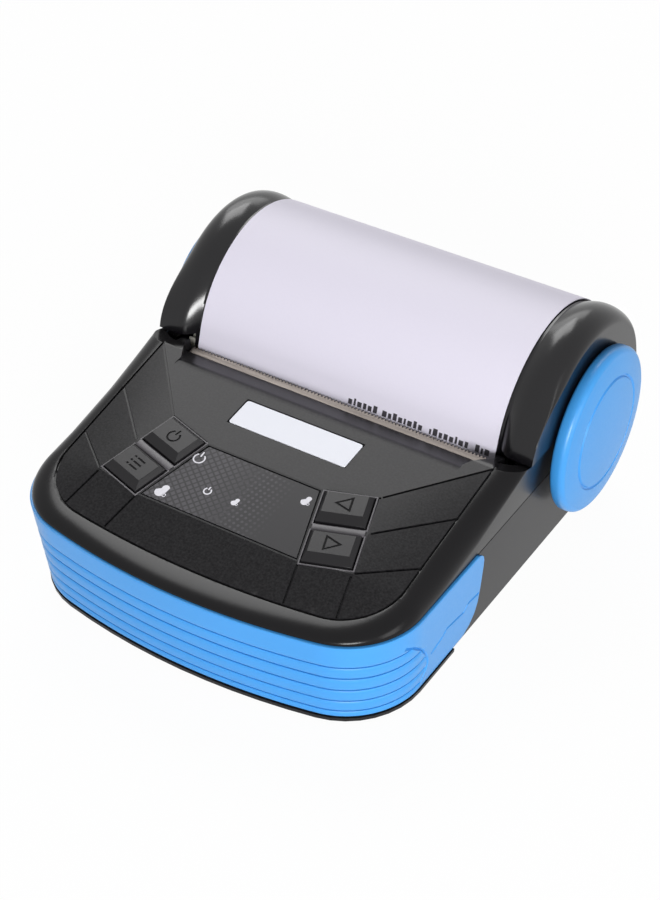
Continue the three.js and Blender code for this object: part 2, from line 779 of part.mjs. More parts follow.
function bumperBand(grow) {
  const options = { back: 0 };
  const levels = bumperLevels();
  const lift = (z) => {
    if (z === bumperTop) return z + grow;
    if (z === bumperBottom) return z - grow;
    return z;
  };
  const outer = loft(levels.map(([z, proud]) => {
    const ribbed = bodyPlan(z, proud + grow, options);
    const plain = bodyPlan(z, bumperProud + grow, options);
    return plain.map(([x, y], i) => (y < ribEndY ? [...ribbed[i], lift(z)] : [x, y, lift(z)]));
  }), upright);
  const back = { back: overrun };
  const inner = loft([bumperBottom - overrun, bumperTop + overrun].map((z) => bodyPlan(
    z, -bumperInset - grow, back).map(([x, y]) => [x, y, z])), upright);
  const leaf = plateX([
    [bodyFront - overrun, bumperBottom - 2 * overrun],
    [leafFoot.y + grow, bumperBottom - 2 * overrun],
    [leafFoot.y + grow, bumperBottom - grow],
    [leafHeel.y + grow, bumperBottom + leafFoot.rise * leafHeel.riseShare],
    [leafWaist.y + grow, bumperBottom + leafFoot.rise * leafWaist.riseShare],
    [leafBack + grow, bumperTop - leafTip.drop],
    [leafTip.y + grow, bumperTop + grow],
    [leafTip.y + grow, bumperTop + overrun],
    [bodyFront - overrun, bumperTop + overrun],
  ], [-coverHalf - overrun, coverHalf + overrun]);
  return outer.subtract(inner).intersect(leaf);
}

// Spur gears: straight-flanked teeth on the pitch circle, thinned by the backlash
const gearModule = 0.6;
const backlash = 0.16;
const pressureTan = Math.tan(20 * degrees);
const addendumShare = 0.9;
const dedendumShare = 1.2;
const platenTeeth = 18;
const idlerTeeth = 22;
const pinionTeeth = 12;
const gearPinRadius = 1.1;
const pitchRadius = (teeth) => (teeth * gearModule) / 2;

function gearOutline(teeth, phase) {
  const pitch = pitchRadius(teeth);
  const quarter = (Math.PI * gearModule) / 4 - backlash / 2;
  const levels = [-dedendumShare, addendumShare].map((share) => {
    const height = share * gearModule;
    return { radius: pitch + height, angle: (quarter - height * pressureTan) / (pitch + height) };
  });
  const points = [];
  for (let tooth = 0; tooth < teeth; tooth += 1) {
    const centre = phase + (2 * Math.PI * tooth) / teeth;
    levels.forEach(({ radius, angle }) => points.push([radius, centre - angle]));
    [...levels].reverse().forEach(({ radius, angle }) => points.push([radius, centre + angle]));
  }
  return points.map(([radius, angle]) => [radius * Math.cos(angle), radius * Math.sin(angle)]);
}

function gearAt(teeth, phase, y, z, bore) {
  const outline = gearOutline(teeth, phase).map(([dy, dz]) => [y + dy, z + dz]);
  const gear = plateX(outline, [-gearOuter, -gearInner]);
  if (!bore) return gear;
  return gear.subtract(rodX(bore, [-gearOuter - overrun, -gearInner + overrun], y, z, smallSides));
}

// The phase that lets the next gear's gap face this gear's tooth
function meshPhase(from, to) {
  const direction = Math.atan2(to.z - from.z, to.y - from.y);
  const pitch = (2 * Math.PI) / from.teeth;
  const lag = (((direction - from.phase) % pitch) + pitch) % pitch;
  return direction + Math.PI + (lag * from.teeth) / to.teeth + Math.PI / to.teeth;
}

const platenGear = { teeth: platenTeeth, phase: 0, y: platenY, z: platenZ };
const idlerA = {
  teeth: idlerTeeth, y: platenY, z: platenZ - pitchRadius(platenTeeth) - pitchRadius(idlerTeeth),
};
idlerA.phase = meshPhase(platenGear, idlerA);
const idlerDrop = 1.5;
const idlerSpan = 2 * pitchRadius(idlerTeeth);
const idlerB = {
  teeth: idlerTeeth,
  y: idlerA.y - Math.sqrt(idlerSpan ** 2 - idlerDrop ** 2),
  z: idlerA.z - idlerDrop,
};
idlerB.phase = meshPhase(idlerA, idlerB);
const pinionRise = 1.6;
const pinionSpan = pitchRadius(idlerTeeth) + pitchRadius(pinionTeeth);
const pinion = {
  teeth: pinionTeeth,
  y: idlerB.y - Math.sqrt(pinionSpan ** 2 - pinionRise ** 2),
  z: idlerB.z + pinionRise,
};
pinion.phase = meshPhase(idlerB, pinion);

// Stepper motor on the left plate
const motorRadius = 8.5;
const motorLength = 15;
const motorShaftRadius = 1;
const motorBore = 3;
const motorFlange = 1;
const motorX = [-plateInner + fit, -plateInner + fit + motorLength];

function buildMotor() {
  const flange = rodX(motorRadius, [motorX[0], motorX[0] + motorFlange], pinion.y, pinion.z);
  const can = rodX(motorRadius - motorFlange / 2, [motorX[0] + motorFlange / 2, motorX[1]],
    pinion.y, pinion.z);
  return flange.add(can).subtract(rodX(
    motorShaftRadius + fit, [motorX[0] - overrun, motorX[0] + motorBore], pinion.y, pinion.z, smallSides));
}

const buildPinion = () => gearAt(pinion.teeth, pinion.phase, pinion.y, pinion.z, 0).add(rodX(
  motorShaftRadius, [-gearOuter, motorX[0] + motorBore - fit], pinion.y, pinion.z, smallSides));

// Battery bay in the tray, closed by a screwed hatch underneath
const batteryInset = 12.6;
const batteryFrontShare = 0.4944;
const frameLead = 1;
const frameFront = pinion.y - motorRadius - frameLead;
const frameClear = 2;
const bayWall = 1.2;
const boardScrewHead = { radius: 2 * boardScrewRadius, height: boardScrewRadius };
const boardScrewBottom = boardTop - boardThickness - boardScrewHead.height - halfFit;
const bayClear = 0.9;
const bayTop = panelZ(place(frontPostShares)[1]) + boardScrewBottom - bayClear;
const batteryBottom = 4.2;
const battery = {
  half: floorHalf - batteryInset,
  front: bodyFront + cornerRadius * batteryFrontShare,
  back: frameFront - frameClear,
  bottom: batteryBottom,
  height: bayTop - bayWall - fit - batteryBottom,
};
const hatchInset = { side: 4, front: 2.6, back: 3 };
const hatchHalf = battery.half - hatchInset.side;
const hatchFront = battery.front + hatchInset.front;
const hatchBack = battery.back - hatchInset.back;
const hatchThickness = 1.4;
const tabHalf = 4;
const tabReach = 9.5;
const tabBack = hatchBack + tabReach;
const hatchScrewReach = 3.6;
const hatchScrewY = battery.back + hatchScrewReach;
const hatchScrewRadius = 1.1;
const tongue = { inner: 16, outer: 22, reach: 2.2, thickness: 0.8 };
const hatchBossRadius = 2.6;
const hatchBossHeight = 6;

function hatchOutline(grow) {
  return [
    [-hatchHalf - grow, hatchFront - grow], [hatchHalf + grow, hatchFront - grow],
    [hatchHalf + grow, hatchBack + grow], [tabHalf + grow, hatchBack + grow],
    [tabHalf + grow, tabBack + grow], [-tabHalf - grow, tabBack + grow],
    [-tabHalf - grow, hatchBack + grow], [-hatchHalf - grow, hatchBack + grow],
  ];
}

// Rear sockets on a small board at the tray's back wall
const usb = { x: 12, width: 7.6, height: 2.7, depth: 5 };
const jack = { x: 24, width: 7, height: 4.6, depth: 5.4, bore: 1.9 };
const ioBoardBottom = floorTop + fit;
const ioBoardThickness = 1;
const ioBoardDepth = 7;
const ioBoardMargin = 6;
const ioBoardInset = 3.1;
const ioBoard = {
  left: usb.x - ioBoardMargin,
  right: jack.x + ioBoardMargin,
  front: bodyBack - ioBoardInset - ioBoardDepth,
  back: bodyBack - ioBoardInset,
};

// Rubber feet
const footRadius = 4;
const footRecess = 0.7;
const frontFootShares = [0.8324, 0.19434];
const rearFoot = { inset: 8.6, setback: 11.5 };
const footPlaces = [
  place(frontFootShares),
  [floorHalf - rearFoot.inset, bodyBack - rearFoot.setback],
];

// Hinge lugs on the tray
const lugInner = 33;
const lugWidth = 6;
const lugRadius = 2.7;
const lugNeckFront = rollAxisY + rollRadius + fit + binWall + fit;
const lugDropShare = 4;

function buildBaseTray() {
  const trayTop = partingHeight - halfFit;
  const rearAt = (z) => bodyBack - fit - backDraft * (partingHeight - z);
  const ring = (z, grow) => bodyPlan(z, grow, { back: rearAt(z) + grow, rearCorner: backCorner + grow })
    .map(([x, y]) => [x, y, z]);
  const outer = loft([ring(footHeight, 0), ring(trayTop, 0)], upright);
  const strip = loft([ring(footHeight, stripProud), ring(footHeight + stripHeight, stripProud)], upright)
    .intersect(block([-coverHalf, coverHalf], [bodyFront - overrun, leafFoot.y], [0, partingHeight]));
  const inner = loft([ring(floorTop, -wall), ring(trayTop + overrun, -wall)], upright);
  const bay = block(
    [-battery.half - fit - bayWall, battery.half + fit + bayWall],
    [battery.front - fit - bayWall, battery.back + fit + bayWall],
    [footHeight, bayTop]);
  const bayRoom = block(
    [-battery.half - fit, battery.half + fit], [battery.front - fit, battery.back + fit],
    [floorTop, bayTop - bayWall]);
  const bossZ = [floorTop + 2 * fit, floorTop + hatchBossHeight];
  const hatchBoss = rodZ(hatchBossRadius, 0, hatchScrewY, bossZ, smallSides);
  const webBack = hatchScrewY - (hatchBossRadius + hatchScrewRadius) / 2;
  const hatchWeb = block([-bayWall / 2, bayWall / 2], [battery.back + fit, webBack], bossZ);
  const columns = columnPlaces.flatMap(([x, y], row) => bothSides(rodZ(
    row ? columnRadius : columnRadius + halfFit, x, y, [floorTop - wall / 2, trayTop], smallSides)));
  const lug = rodX(lugRadius, [lugInner, lugInner + lugWidth], hingeY, hingeZ).add(block(
    [lugInner, lugInner + lugWidth], [lugNeckFront, hingeY + lugRadius / 2],
    [hingeZ - lugDropShare * lugRadius, hingeZ]));
  const barrelRoom = rodX(barrelRadius + fit + halfFit, [-coverHalf - overrun, coverHalf + overrun],
    hingeY, hingeZ).add(block([-coverHalf - overrun, coverHalf + overrun],
    [hingeY, bodyBack + overrun], [hingeZ - coverPlayBelow, hingeZ + overrun]));
  const walls = joined([outer.subtract(inner), strip]).subtract(barrelRoom);
  const body = joined([walls, bay, ...columns, hatchBoss, hatchWeb, ...bothSides(lug)]);
  const screwBores = columnPlaces.flatMap(([x, y]) => bothSides(rodZ(
    screwRadius + fit, x, y, [0, partingHeight + overrun], smallSides).add(rodZ(
    screwHeadRadius + fit, x, y, [0, footHeight + screwHeadHeight + fit], smallSides))));
  const footRooms = footPlaces.flatMap(([x, y]) => bothSides(rodZ(
    footRadius + fit, x, y, [0, footHeight + footRecess], roundSides)));
  const ioTop = ioBoardBottom + ioBoardThickness;
  const usbWindow = block(
    [usb.x - usb.width / 2 - fit, usb.x + usb.width / 2 + fit], [ioBoard.back, bodyBack + overrun],
    [ioTop, ioTop + halfFit + usb.height + fit]);
  const jackWindow = block(
    [jack.x - jack.width / 2 - fit, jack.x + jack.width / 2 + fit], [ioBoard.back, bodyBack + overrun],
    [ioTop, ioTop + halfFit + jack.height + fit]);
  const pinBore = rodX(pinRadius + fit, [-coverHalf, coverHalf], hingeY, hingeZ, smallSides);
  const hatch = plateZ(hatchOutline(fit), [0, floorTop + fit])
    .add(rodZ(hatchScrewRadius + fit, 0, hatchScrewY, [0, floorTop + 2 * hatchBossHeight], smallSides));
  return cut(body, [bayRoom, ...screwBores, ...footRooms, usbWindow, jackWindow, pinBore, hatch,
    bumperBand(fit)]);
}

function buildHatch() {
  const top = footHeight + hatchThickness;
  const tongueRoot = hatchFront + tongue.thickness + 2 * fit;
  const tongues = bothSides(block(
    [tongue.inner, tongue.outer], [hatchFront + halfFit, tongueRoot],
    [footHeight + hatchThickness / 2, floorTop + fit + tongue.thickness]).add(block(
    [tongue.inner, tongue.outer], [hatchFront - tongue.reach, tongueRoot],
    [floorTop + fit, floorTop + fit + tongue.thickness])));
  const plate = plateZ(hatchOutline(0), [footHeight, top]);
  return cut(joined([plate, ...tongues]), [
    rodZ(hatchScrewRadius + fit, 0, hatchScrewY, [0, floorTop + overrun], smallSides),
    rodZ(screwHeadRadius + fit, 0, hatchScrewY, [0, footHeight + hatchThickness / 2], smallSides),
  ]);
}

// Serrated tear bar: a strip on the shelf, rising towards its teeth
const tearBarDepth = 2.1;
const tearBarThickness = 0.5;
const toothPitch = 0.9;
const toothDepth = 0.7;
const tearRise = 0.25;

function buildTearBar() {
  const half = paperHalf + paperSideGap;
  const count = Math.round((2 * half) / toothPitch);
  const step = (2 * half) / count;
  const points = [[-half, -tearBarDepth], [half, -tearBarDepth]];
  for (let i = 0; i < count; i += 1) {
    points.push([half - step * i, -toothDepth], [half - step * (i + 0.5), 0]);
  }
  points.push([-half, -toothDepth]);
  const shape = new THREE.Shape(points.map(([x, y]) => new THREE.Vector2(x, y)));
  const geometry = new THREE.ExtrudeGeometry(shape, { depth: tearBarThickness, bevelEnabled: false });
  geometry.rotateX(tearRise);
  geometry.translate(0, tearY, shelfZ + fit + tearBarDepth * Math.sin(tearRise));
  return solidOf(geometry);
}

// Cover: section across the printer at one place along X
const archRise = 1.1;
const crestShare = 0.45;
const shoulderRadius = 23.6;
const archFootRadius = 28.9;
const flareAngle = 136 * degrees;
const middleShare = 0.72;
const rearRound = 18;
const rearEase = 13;
const coverArcSteps = 26;
const coverFrontAngle = 174 * degrees;
const seamAngle = 165 * degrees;
const shoulderAngle = 122 * degrees;
const archStepAngles = [0, 35, 62, 90].map((a) => a * degrees);

const seamShare = (angle, from) => smooth((angle - from) / (seamAngle - from));

function rearFlattened(reach) {
  return reach < rearRound ? reach
    : rearRound + rearEase * (1 - Math.exp(-(reach - rearRound) / rearEase));
}

const coverReach = (reach, radius) => (reach > 0
  ? (rearFlattened(reach) * (bodyBack - coverAxisY)) / rearFlattened(radius) : reach);

function coverStations(inset) {
  const crest = lerp(troughHalf, coverHalf, crestShare);
  const middle = lerp(troughHalf, crest, 0.5);
  const crestAt = (angle) => lerp(coverRadius + archRise, archFootRadius, seamShare(angle, flareAngle));
  const list = [
    { x: troughHalf, radius: () => coverRadius },
    { x: middle, radius: (angle) => lerp(coverRadius, crestAt(angle), middleShare) },
  ];
  archStepAngles.forEach((turn) => list.push({
    x: lerp(crest, coverHalf - inset, Math.sin(turn)),
    radius: (angle) => {
      const shoulder = lerp(shoulderRadius, archFootRadius, seamShare(angle, shoulderAngle));
      return lerp(shoulder, crestAt(angle), Math.cos(turn));
    },
  }));
  return [...list.map((s) => ({ ...s, x: -s.x })).reverse(), ...list];
}

function coverBlock(inset, bottom) {
  return loft(coverStations(inset).map(({ x, radius }) => {
    const arc = [];
    for (let i = 0; i <= coverArcSteps; i += 1) {
      const angle = (coverFrontAngle * i) / coverArcSteps;
      const r = radius(angle);
      const reach = coverReach(r * Math.cos(angle), r);
      arc.push([
        coverAxisY + reach - inset * Math.cos(angle),
        coverAxisZ + r * Math.sin(angle) - inset * Math.sin(angle),
        x,
      ]);
    }
    return [[arc.at(-1)[0], bottom, x], [arc[0][0], bottom, x], ...arc];
  }), sideways);
}

const gripRadius = 20;
const gripDrop = 0.6;
const gripAxisZ = coverAxisZ - gripDrop;
const lipBottom = 31.6;
const coverWall = 2;
const gripStudRadius = 2.4;
const gripStudHeight = (seamHeight + gripAxisZ + gripRadius) / 2;
const gripStudSpacing = 14;

function gripStuds(radius, x) {
  return [-1, 1].map((k) => rodX(
    radius, x, coverAxisY + (k * gripStudSpacing) / 2, gripStudHeight, smallSides));
}

function buildCover() {
  const low = hingeZ - overrun * 3;
  const shell = coverBlock(0, low).subtract(coverBlock(coverWall, low - overrun));
  const skirt = troughHalf + seamGap;
  const far = coverHalf + overrun;
  const seamBottom = seamHeight + seamGap;
  const front = coverAxisY - coverRadius - overrun;
  const sideBottom = hingeZ - barrelRadius + fit;
  const trims = [
    ...bothSides(block([skirt, far], [front, prongBack + seamGap], [low - overrun, seamBottom])),
    ...bothSides(block([coverHalf - coverWall - overrun, far], [coverAxisY, hingeY],
      [low - overrun, sideBottom])),
    block([-skirt - overrun, skirt + overrun], [front, coverAxisY], [low - overrun, lipBottom]),
    block([-coverHalf + coverWall, coverHalf - coverWall], [coverAxisY, bodyBack + overrun],
      [low - overrun, hingeZ]),
    block([-far, far], [hingeY, bodyBack + overrun], [low - overrun, hingeZ]),
  ];
  const barrel = rodX(barrelRadius, [-coverHalf + fit, coverHalf - fit], hingeY, hingeZ);
  const lugRooms = bothSides(block(
    [lugInner - fit, lugInner + lugWidth + fit],
    [hingeY - barrelRadius - fit, bodyBack + overrun],
    [hingeZ - barrelRadius - fit, hingeZ + barrelRadius + fit]));
  const pinRoom = rodX(pinRadius + fit, [-coverHalf + coverWall, coverHalf - coverWall], hingeY, hingeZ,
    smallSides);
  const studRooms = bothSides(joined(
    gripStuds(gripStudRadius + fit, [coverHalf - coverWall - overrun, far])));
  return cut(cut(shell, trims).add(barrel), [...lugRooms, pinRoom, ...studRooms]);
}

// Liner inside the cover: a curved beam and two cheeks that carry the platen
const linerThickness = 1.8;
const linerFrom = 106;
const linerTo = 163;
const linerSteps = 8;
const bushRadius = 2.6;
const bushWall = 0.8;
const bossWall = 1.3;
const cheekBoss = bushRadius + fit + bossWall;
const cheekFootShare = 0.7;
const cheekHeelShare = 0.45;

function buildLiner() {
  const outerRadius = coverRadius - coverWall - fit;
  const at = (radius, angle) => [
    coverAxisY + radius * Math.cos(angle * degrees), coverAxisZ + radius * Math.sin(angle * degrees)];
  const outline = [];
  for (let i = 0; i <= linerSteps; i += 1) {
    outline.push(at(outerRadius, lerp(linerFrom, linerTo, i / linerSteps)));
  }
  for (let i = linerSteps; i >= 0; i -= 1) {
    outline.push(at(outerRadius - linerThickness, lerp(linerFrom, linerTo, i / linerSteps)));
  }
  const beam = plateX(outline, [-cheekOuter, cheekOuter]);
  const corner = at(outerRadius, linerTo);
  const heel = at(outerRadius - linerThickness, lerp(linerFrom, linerTo, cheekHeelShare));
  const web = plateX([
    [platenY - cheekBoss * cheekFootShare, platenZ], [platenY + cheekBoss, platenZ], heel, corner,
  ], [cheekInner, cheekOuter]);
  const cheek = web.add(rodX(cheekBoss, [cheekInner, cheekOuter], platenY, platenZ));
  return joined([beam, ...bothSides(cheek)]).subtract(
    rodX(bushRadius + fit, [-cheekOuter - overrun, cheekOuter + overrun], platenY, platenZ));
}

const bushX = [cheekInner + halfFit, plateOuter];
const buildBush = () => rodX(bushRadius, bushX, platenY, platenZ).subtract(
  rodX(bushRadius - bushWall, [0, plateOuter + overrun], platenY, platenZ));

// Mechanism frame: two plates, a beam behind the head's springs and a shelf under the head
const frameBottom = floorTop + fit;
const frameTop = 27;
const frameBackReach = 11;
const frameBack = tearY + frameBackReach;
const beamSetback = 6.8;
const beamBack = tearY - beamSetback;
const beamThickness = 1.4;
const beamTop = 23;
const shelfTop = 11.8;
const shelfThickness = 1.2;
const headShelfReach = 5;
const shelfBack = tearY + headShelfReach;
const notchDepth = 3.6;

function buildFrame() {
  const plate = cut(plateX([
    [frameFront, frameBottom], [frameBack, frameBottom], [frameBack, platenZ + shaftRadius],
    [frameBack - fit, frameTop], [pinion.y + motorRadius, frameTop], [frameFront, pinion.z + motorRadius],
  ], [plateInner, plateOuter]), [
    block([plateInner - overrun, plateOuter + overrun],
      [platenY - bushRadius - fit, platenY + bushRadius + fit], [platenZ, frameTop + overrun]),
    rodX(bushRadius + fit, [plateInner - overrun, plateOuter + overrun], platenY, platenZ),
  ]);
  const shaftRoom = rodX(motorShaftRadius + 2 * fit, [-plateOuter - overrun, -plateInner + halfFit],
    pinion.y, pinion.z, smallSides);
  const beam = block([-plateInner - fit, plateInner + fit], [beamBack - beamThickness, beamBack],
    [frameBottom, beamTop]);
  const shelf = block([-plateInner - fit, plateInner + fit], [beamBack - beamThickness, shelfBack],
    [shelfTop - shelfThickness, shelfTop]);
  const pins = [idlerA, idlerB].map(({ y, z }) => rodX(
    gearPinRadius, [-gearOuter - halfFit, -plateInner], y, z, smallSides));
  return joined([...bothSides(plate), beam, shelf]).subtract(shaftRoom).add(joined(pins));
}

// Print head: a ceramic heater on an aluminium sink, pushed by two springs
const headOver = 1;
const headHalf = paperHalf + headOver;
const headFace = tearY + fit;
const ceramicThickness = 0.55;
const sinkThickness = 2.8;
const headGap = 0.05;
const sinkTop = 28.4;
const ceramicHeight = 9;
const springRadius = 1.9;
const springWire = 0.3;
const springTurns = 4;
const springX = 22;
const springZ = 20;
const wireSides = 5;
const stepsPerTurn = 10;
const sinkBack = headFace - ceramicThickness - headGap;
const sinkFront = sinkBack - sinkThickness;

function buildHeatSink() {
  const finWidth = 1;
  const finPitch = 4;
  const finDepth = 1;
  const plate = block([-headHalf, headHalf], [sinkFront, sinkBack], [shelfTop + fit, sinkTop]);
  const slots = [];
  for (let x = -headHalf + finPitch; x < headHalf - finPitch; x += finPitch) {
    slots.push(block([x, x + finPitch - finWidth], [sinkFront - overrun, sinkFront + finDepth],
      [springZ + springRadius + springWire + fit + finWidth, sinkTop + overrun]));
  }
  return cut(plate, slots);
}

class Helix extends THREE.Curve {
  constructor(radius, length, turns) {
    super();
    Object.assign(this, { radius, length, turns });
  }

  getPoint(t, target = new THREE.Vector3()) {
    const angle = 2 * Math.PI * this.turns * t;
    return target.set(this.radius * Math.cos(angle), this.length * (t - 0.5), this.radius * Math.sin(angle));
  }
}

function buildSpring(x) {
  const room = sinkFront - beamBack - 2 * fit;
  const path = new Helix(springRadius, room - 2 * springWire, springTurns);
  const section = [];
  for (let i = 0; i < wireSides; i += 1) {
    const t = (2 * Math.PI * i) / wireSides;
    section.push(new THREE.Vector2(springWire * Math.cos(t), springWire * Math.sin(t)));
  }
  const geometry = new THREE.ExtrudeGeometry(new THREE.Shape(section), {
    extrudePath: path, steps: springTurns * stepsPerTurn, bevelEnabled: false,
  });
  geometry.translate(x, (sinkFront + beamBack) / 2, springZ);
  return solidOf(geometry);
}

// Paper sensor on the shelf, under the paper
const sensorGap = 0.7;
const sensorDepth = 3;
const sensor = {
  half: 3, front: headFace + sensorGap, back: headFace + sensorGap + sensorDepth, height: 2.6,
};

// Paper bin: a trough round the roll, with end walls that stand on the floor
const binFrom = 236;
const binTo = 348;
const binSteps = 14;
const binEndInner = paperHalf + fit;
const binEndOuter = binEndInner + binWall;
const binRadius = rollRadius + fit;
const binEnd = { rise: 3, front: 12.3, back: 13.7 };
const binEndTop = rollAxisZ + binEnd.rise;
const binEndFront = rollAxisY - binEnd.front;
const binEndBack = rollAxisY + binEnd.back;

function buildBin() {
  const at = (radius, angle) => [
    rollAxisY + radius * Math.cos(angle * degrees), rollAxisZ + radius * Math.sin(angle * degrees)];
  const outline = [];
  for (let i = 0; i <= binSteps; i += 1) {
    outline.push(at(binRadius + binWall, lerp(binFrom, binTo, i / binSteps)));
  }
  for (let i = binSteps; i >= 0; i -= 1) outline.push(at(binRadius, lerp(binFrom, binTo, i / binSteps)));
  const trough = plateX(outline, [-binEndInner - binWall / 2, binEndInner + binWall / 2]);
  const end = plateX([
    [binEndFront, floorTop + fit], [binEndBack, floorTop + fit], [binEndBack, binEndTop],
    [binEndFront, binEndTop],
  ], [binEndInner, binEndOuter]);
  return joined([trough, ...bothSides(end)]);
}

// Paper: the roll on its core, the web to the nip, and the printed strip lying over the cover
const coreRadius = 6.5;
const coreWall = 1;

function tubeX(outer, inner, half, y, z, sides) {
  return latheX([[inner, -half], [outer, -half], [outer, half], [inner, half], [inner, -half]], sides, y, z);
}

function ribbon(path, thickness, half) {
  const left = [];
  const right = [];
  path.forEach(([y, z], i) => {
    const [y0, z0] = path[Math.max(0, i - 1)];
    const [y1, z1] = path[Math.min(path.length - 1, i + 1)];
    const length = Math.hypot(y1 - y0, z1 - z0);
    const ny = (-(z1 - z0) / length) * (thickness / 2);
    const nz = ((y1 - y0) / length) * (thickness / 2);
    left.push([y + ny, z + nz]);
    right.unshift([y - ny, z - nz]);
  });
  return plateX([...left, ...right], [-half, half]);
}

const nipY = headFace + paperThickness;
const webTop = platenZ - fit;
const webStraight = 4.5;
const webTurnZ = platenZ - webStraight;

function buildWeb() {
  const radius = rollRadius + paperThickness;
  const span = Math.hypot(nipY - rollAxisY, webTurnZ - rollAxisZ);
  const angle = Math.atan2(webTurnZ - rollAxisZ, nipY - rollAxisY) + Math.acos(radius / span);
  const touch = [rollAxisY + radius * Math.cos(angle), rollAxisZ + radius * Math.sin(angle)];
  return ribbon([touch, [nipY, webTurnZ], [nipY, webTop]], paperThickness, paperHalf);
}

const stripClearance = 0.35;
const stripEndAngle = 34;
const stripStartAngle = 166;
const stripSteps = 26;

function buildStrip() {
  const radius = coverRadius + stripClearance;
  const path = [[nipY, webTop + overrun / 2], [nipY + halfFit, lipBottom - fit]];
  for (let i = 0; i <= stripSteps; i += 1) {
    const angle = lerp(stripStartAngle, stripEndAngle, i / stripSteps) * degrees;
    const reach = coverReach(radius * Math.cos(angle), coverRadius);
    path.push([coverAxisY + reach, coverAxisZ + radius * Math.sin(angle)]);
  }
  return ribbon(path, paperThickness, paperHalf);
}

// Round grips on the arches: a thick rim, a gently domed face and a ring groove
const gripBack = coverHalf + fit;
const gripRim = 2.9;
const gripDome = 4.9;
const gripRingRadius = 13.6;
const gripRingDepth = 0.35;
const gripRingWidth = 0.5;
const gripEdge = 1.5;
const gripSides = 40;

function buildGrip() {
  const face = (r) => gripRim + (gripDome - gripRim) * Math.sqrt(1 - (r / gripRadius) ** 2);
  const profile = [[0, 0], [gripRadius - gripEdge, 0], [gripRadius, gripEdge / 2]];
  const edgeSteps = 3;
  for (let i = 0; i <= edgeSteps; i += 1) {
    const t = (Math.PI / 2) * (i / edgeSteps);
    profile.push([
      gripRadius - gripEdge + gripEdge * Math.cos(t),
      face(gripRadius - gripEdge) - gripEdge + gripEdge * Math.sin(t),
    ]);
  }
  const ring = [gripRingRadius + gripRingWidth, gripRingRadius, gripRingRadius - gripRingWidth];
  profile.push([ring[0], face(ring[0])], [ring[1], face(ring[1]) - gripRingDepth], [ring[2], face(ring[2])]);
  profile.push([gripRingRadius / 2, face(gripRingRadius / 2)], [0, gripDome]);
  const disc = latheX(profile.map(([r, h]) => [r, gripBack + h]), gripSides, coverAxisY, gripAxisZ);
  return joined([disc, ...gripStuds(gripStudRadius, [coverHalf - coverWall, gripBack + gripEdge])]);
}

// Sockets
function buildUsb() {
  const bottom = ioBoardBottom + ioBoardThickness + halfFit;
  const skin = 0.4;
  const shell = block([usb.x - usb.width / 2, usb.x + usb.width / 2],
    [ioBoard.back + fit + wall - usb.depth, ioBoard.back + fit + wall], [bottom, bottom + usb.height]);
  const mouth = block([usb.x - usb.width / 2 + skin, usb.x + usb.width / 2 - skin],
    [ioBoard.back + wall - usb.depth + 2 * skin, bodyBack], [bottom + skin, bottom + usb.height - skin]);
  const tongueHalf = usb.width / 4;
  const key = block([usb.x - tongueHalf, usb.x + tongueHalf],
    [ioBoard.back + wall - usb.depth + skin, ioBoard.back + wall - skin],
    [bottom + usb.height / 2 - skin / 2, bottom + usb.height / 2 + skin / 2]);
  return shell.subtract(mouth).add(key);
}

function buildJack() {
  const bottom = ioBoardBottom + ioBoardThickness + halfFit;
  const back = ioBoard.back + fit + wall;
  const middle = bottom + jack.height / 2;
  const housing = block([jack.x - jack.width / 2, jack.x + jack.width / 2], [back - jack.depth, back],
    [bottom, bottom + jack.height]);
  const rod = (radius, y) => {
    const geometry = new THREE.CylinderGeometry(radius, radius, y[1] - y[0], smallSides);
    geometry.translate(jack.x, (y[0] + y[1]) / 2, middle);
    return solidOf(geometry);
  };
  const pinY = [back - jack.depth + wall / 2, back - fit];
  return housing.subtract(rod(jack.bore, [back - jack.depth + wall, bodyBack]))
    .add(rod(jack.bore / 4, pinY));
}

// Finishes
const finish = (color, roughness, metalness = 0) => ({ color, roughness, metalness });
const finishes = {
  blackCase: finish(0x2b2a2c, 0.48),
  blackGloss: finish(0x1d1c1e, 0.16),
  blackKey: finish(0x2e2d30, 0.5),
  blue: finish(0x55a5f5, 0.42),
  film: finish(0x3b3b40, 0.35),
  label: finish(0xeef1f6, 0.4),
  paper: finish(0xe6e3f0, 0.85),
  core: finish(0xb08a5e, 0.9),
  steel: finish(0x8f8a86, 0.4, 0.9),
  aluminium: finish(0xb4b6b8, 0.4, 0.85),
  ceramic: finish(0xd9d2c4, 0.3),
  board: finish(0x1f5a3a, 0.5),
  rubber: finish(0x242426, 0.9),
  gear: finish(0xe4e2da, 0.5),
  brass: finish(0xb99a55, 0.35, 0.9),
  battery: finish(0x30506e, 0.5),
  lamp: finish(0xd8e6e2, 0.2),
  innerCase: finish(0x333236, 0.6),
};

const printer = new THREE.Group();
printer.add(panelFrame, labelFrame);

function piece(name, solid, finishName, parent = printer) {
  const mesh = new THREE.Mesh(geometryOf(solid), new THREE.MeshStandardMaterial(finishes[finishName]));
  mesh.name = name;
  parent.add(mesh);
  return mesh;
}

// Casing
piece('base_tray', buildBaseTray(), 'blackCase');
piece('top_housing', buildTopHousing(), 'blackCase');
piece('front_bumper', bumperBand(0), 'blue');
piece('tear_bar', buildTearBar(), 'steel');
const filmBase = halfFit / 2 - filmRecess;
piece('overlay_film', plateZ(filmOutline(0), [filmBase, filmBase + filmThickness]), 'film', panelFrame);
piece('label_plate', plateZ(labelOutline(0), [-labelThickness, 0]), 'label', labelFrame);

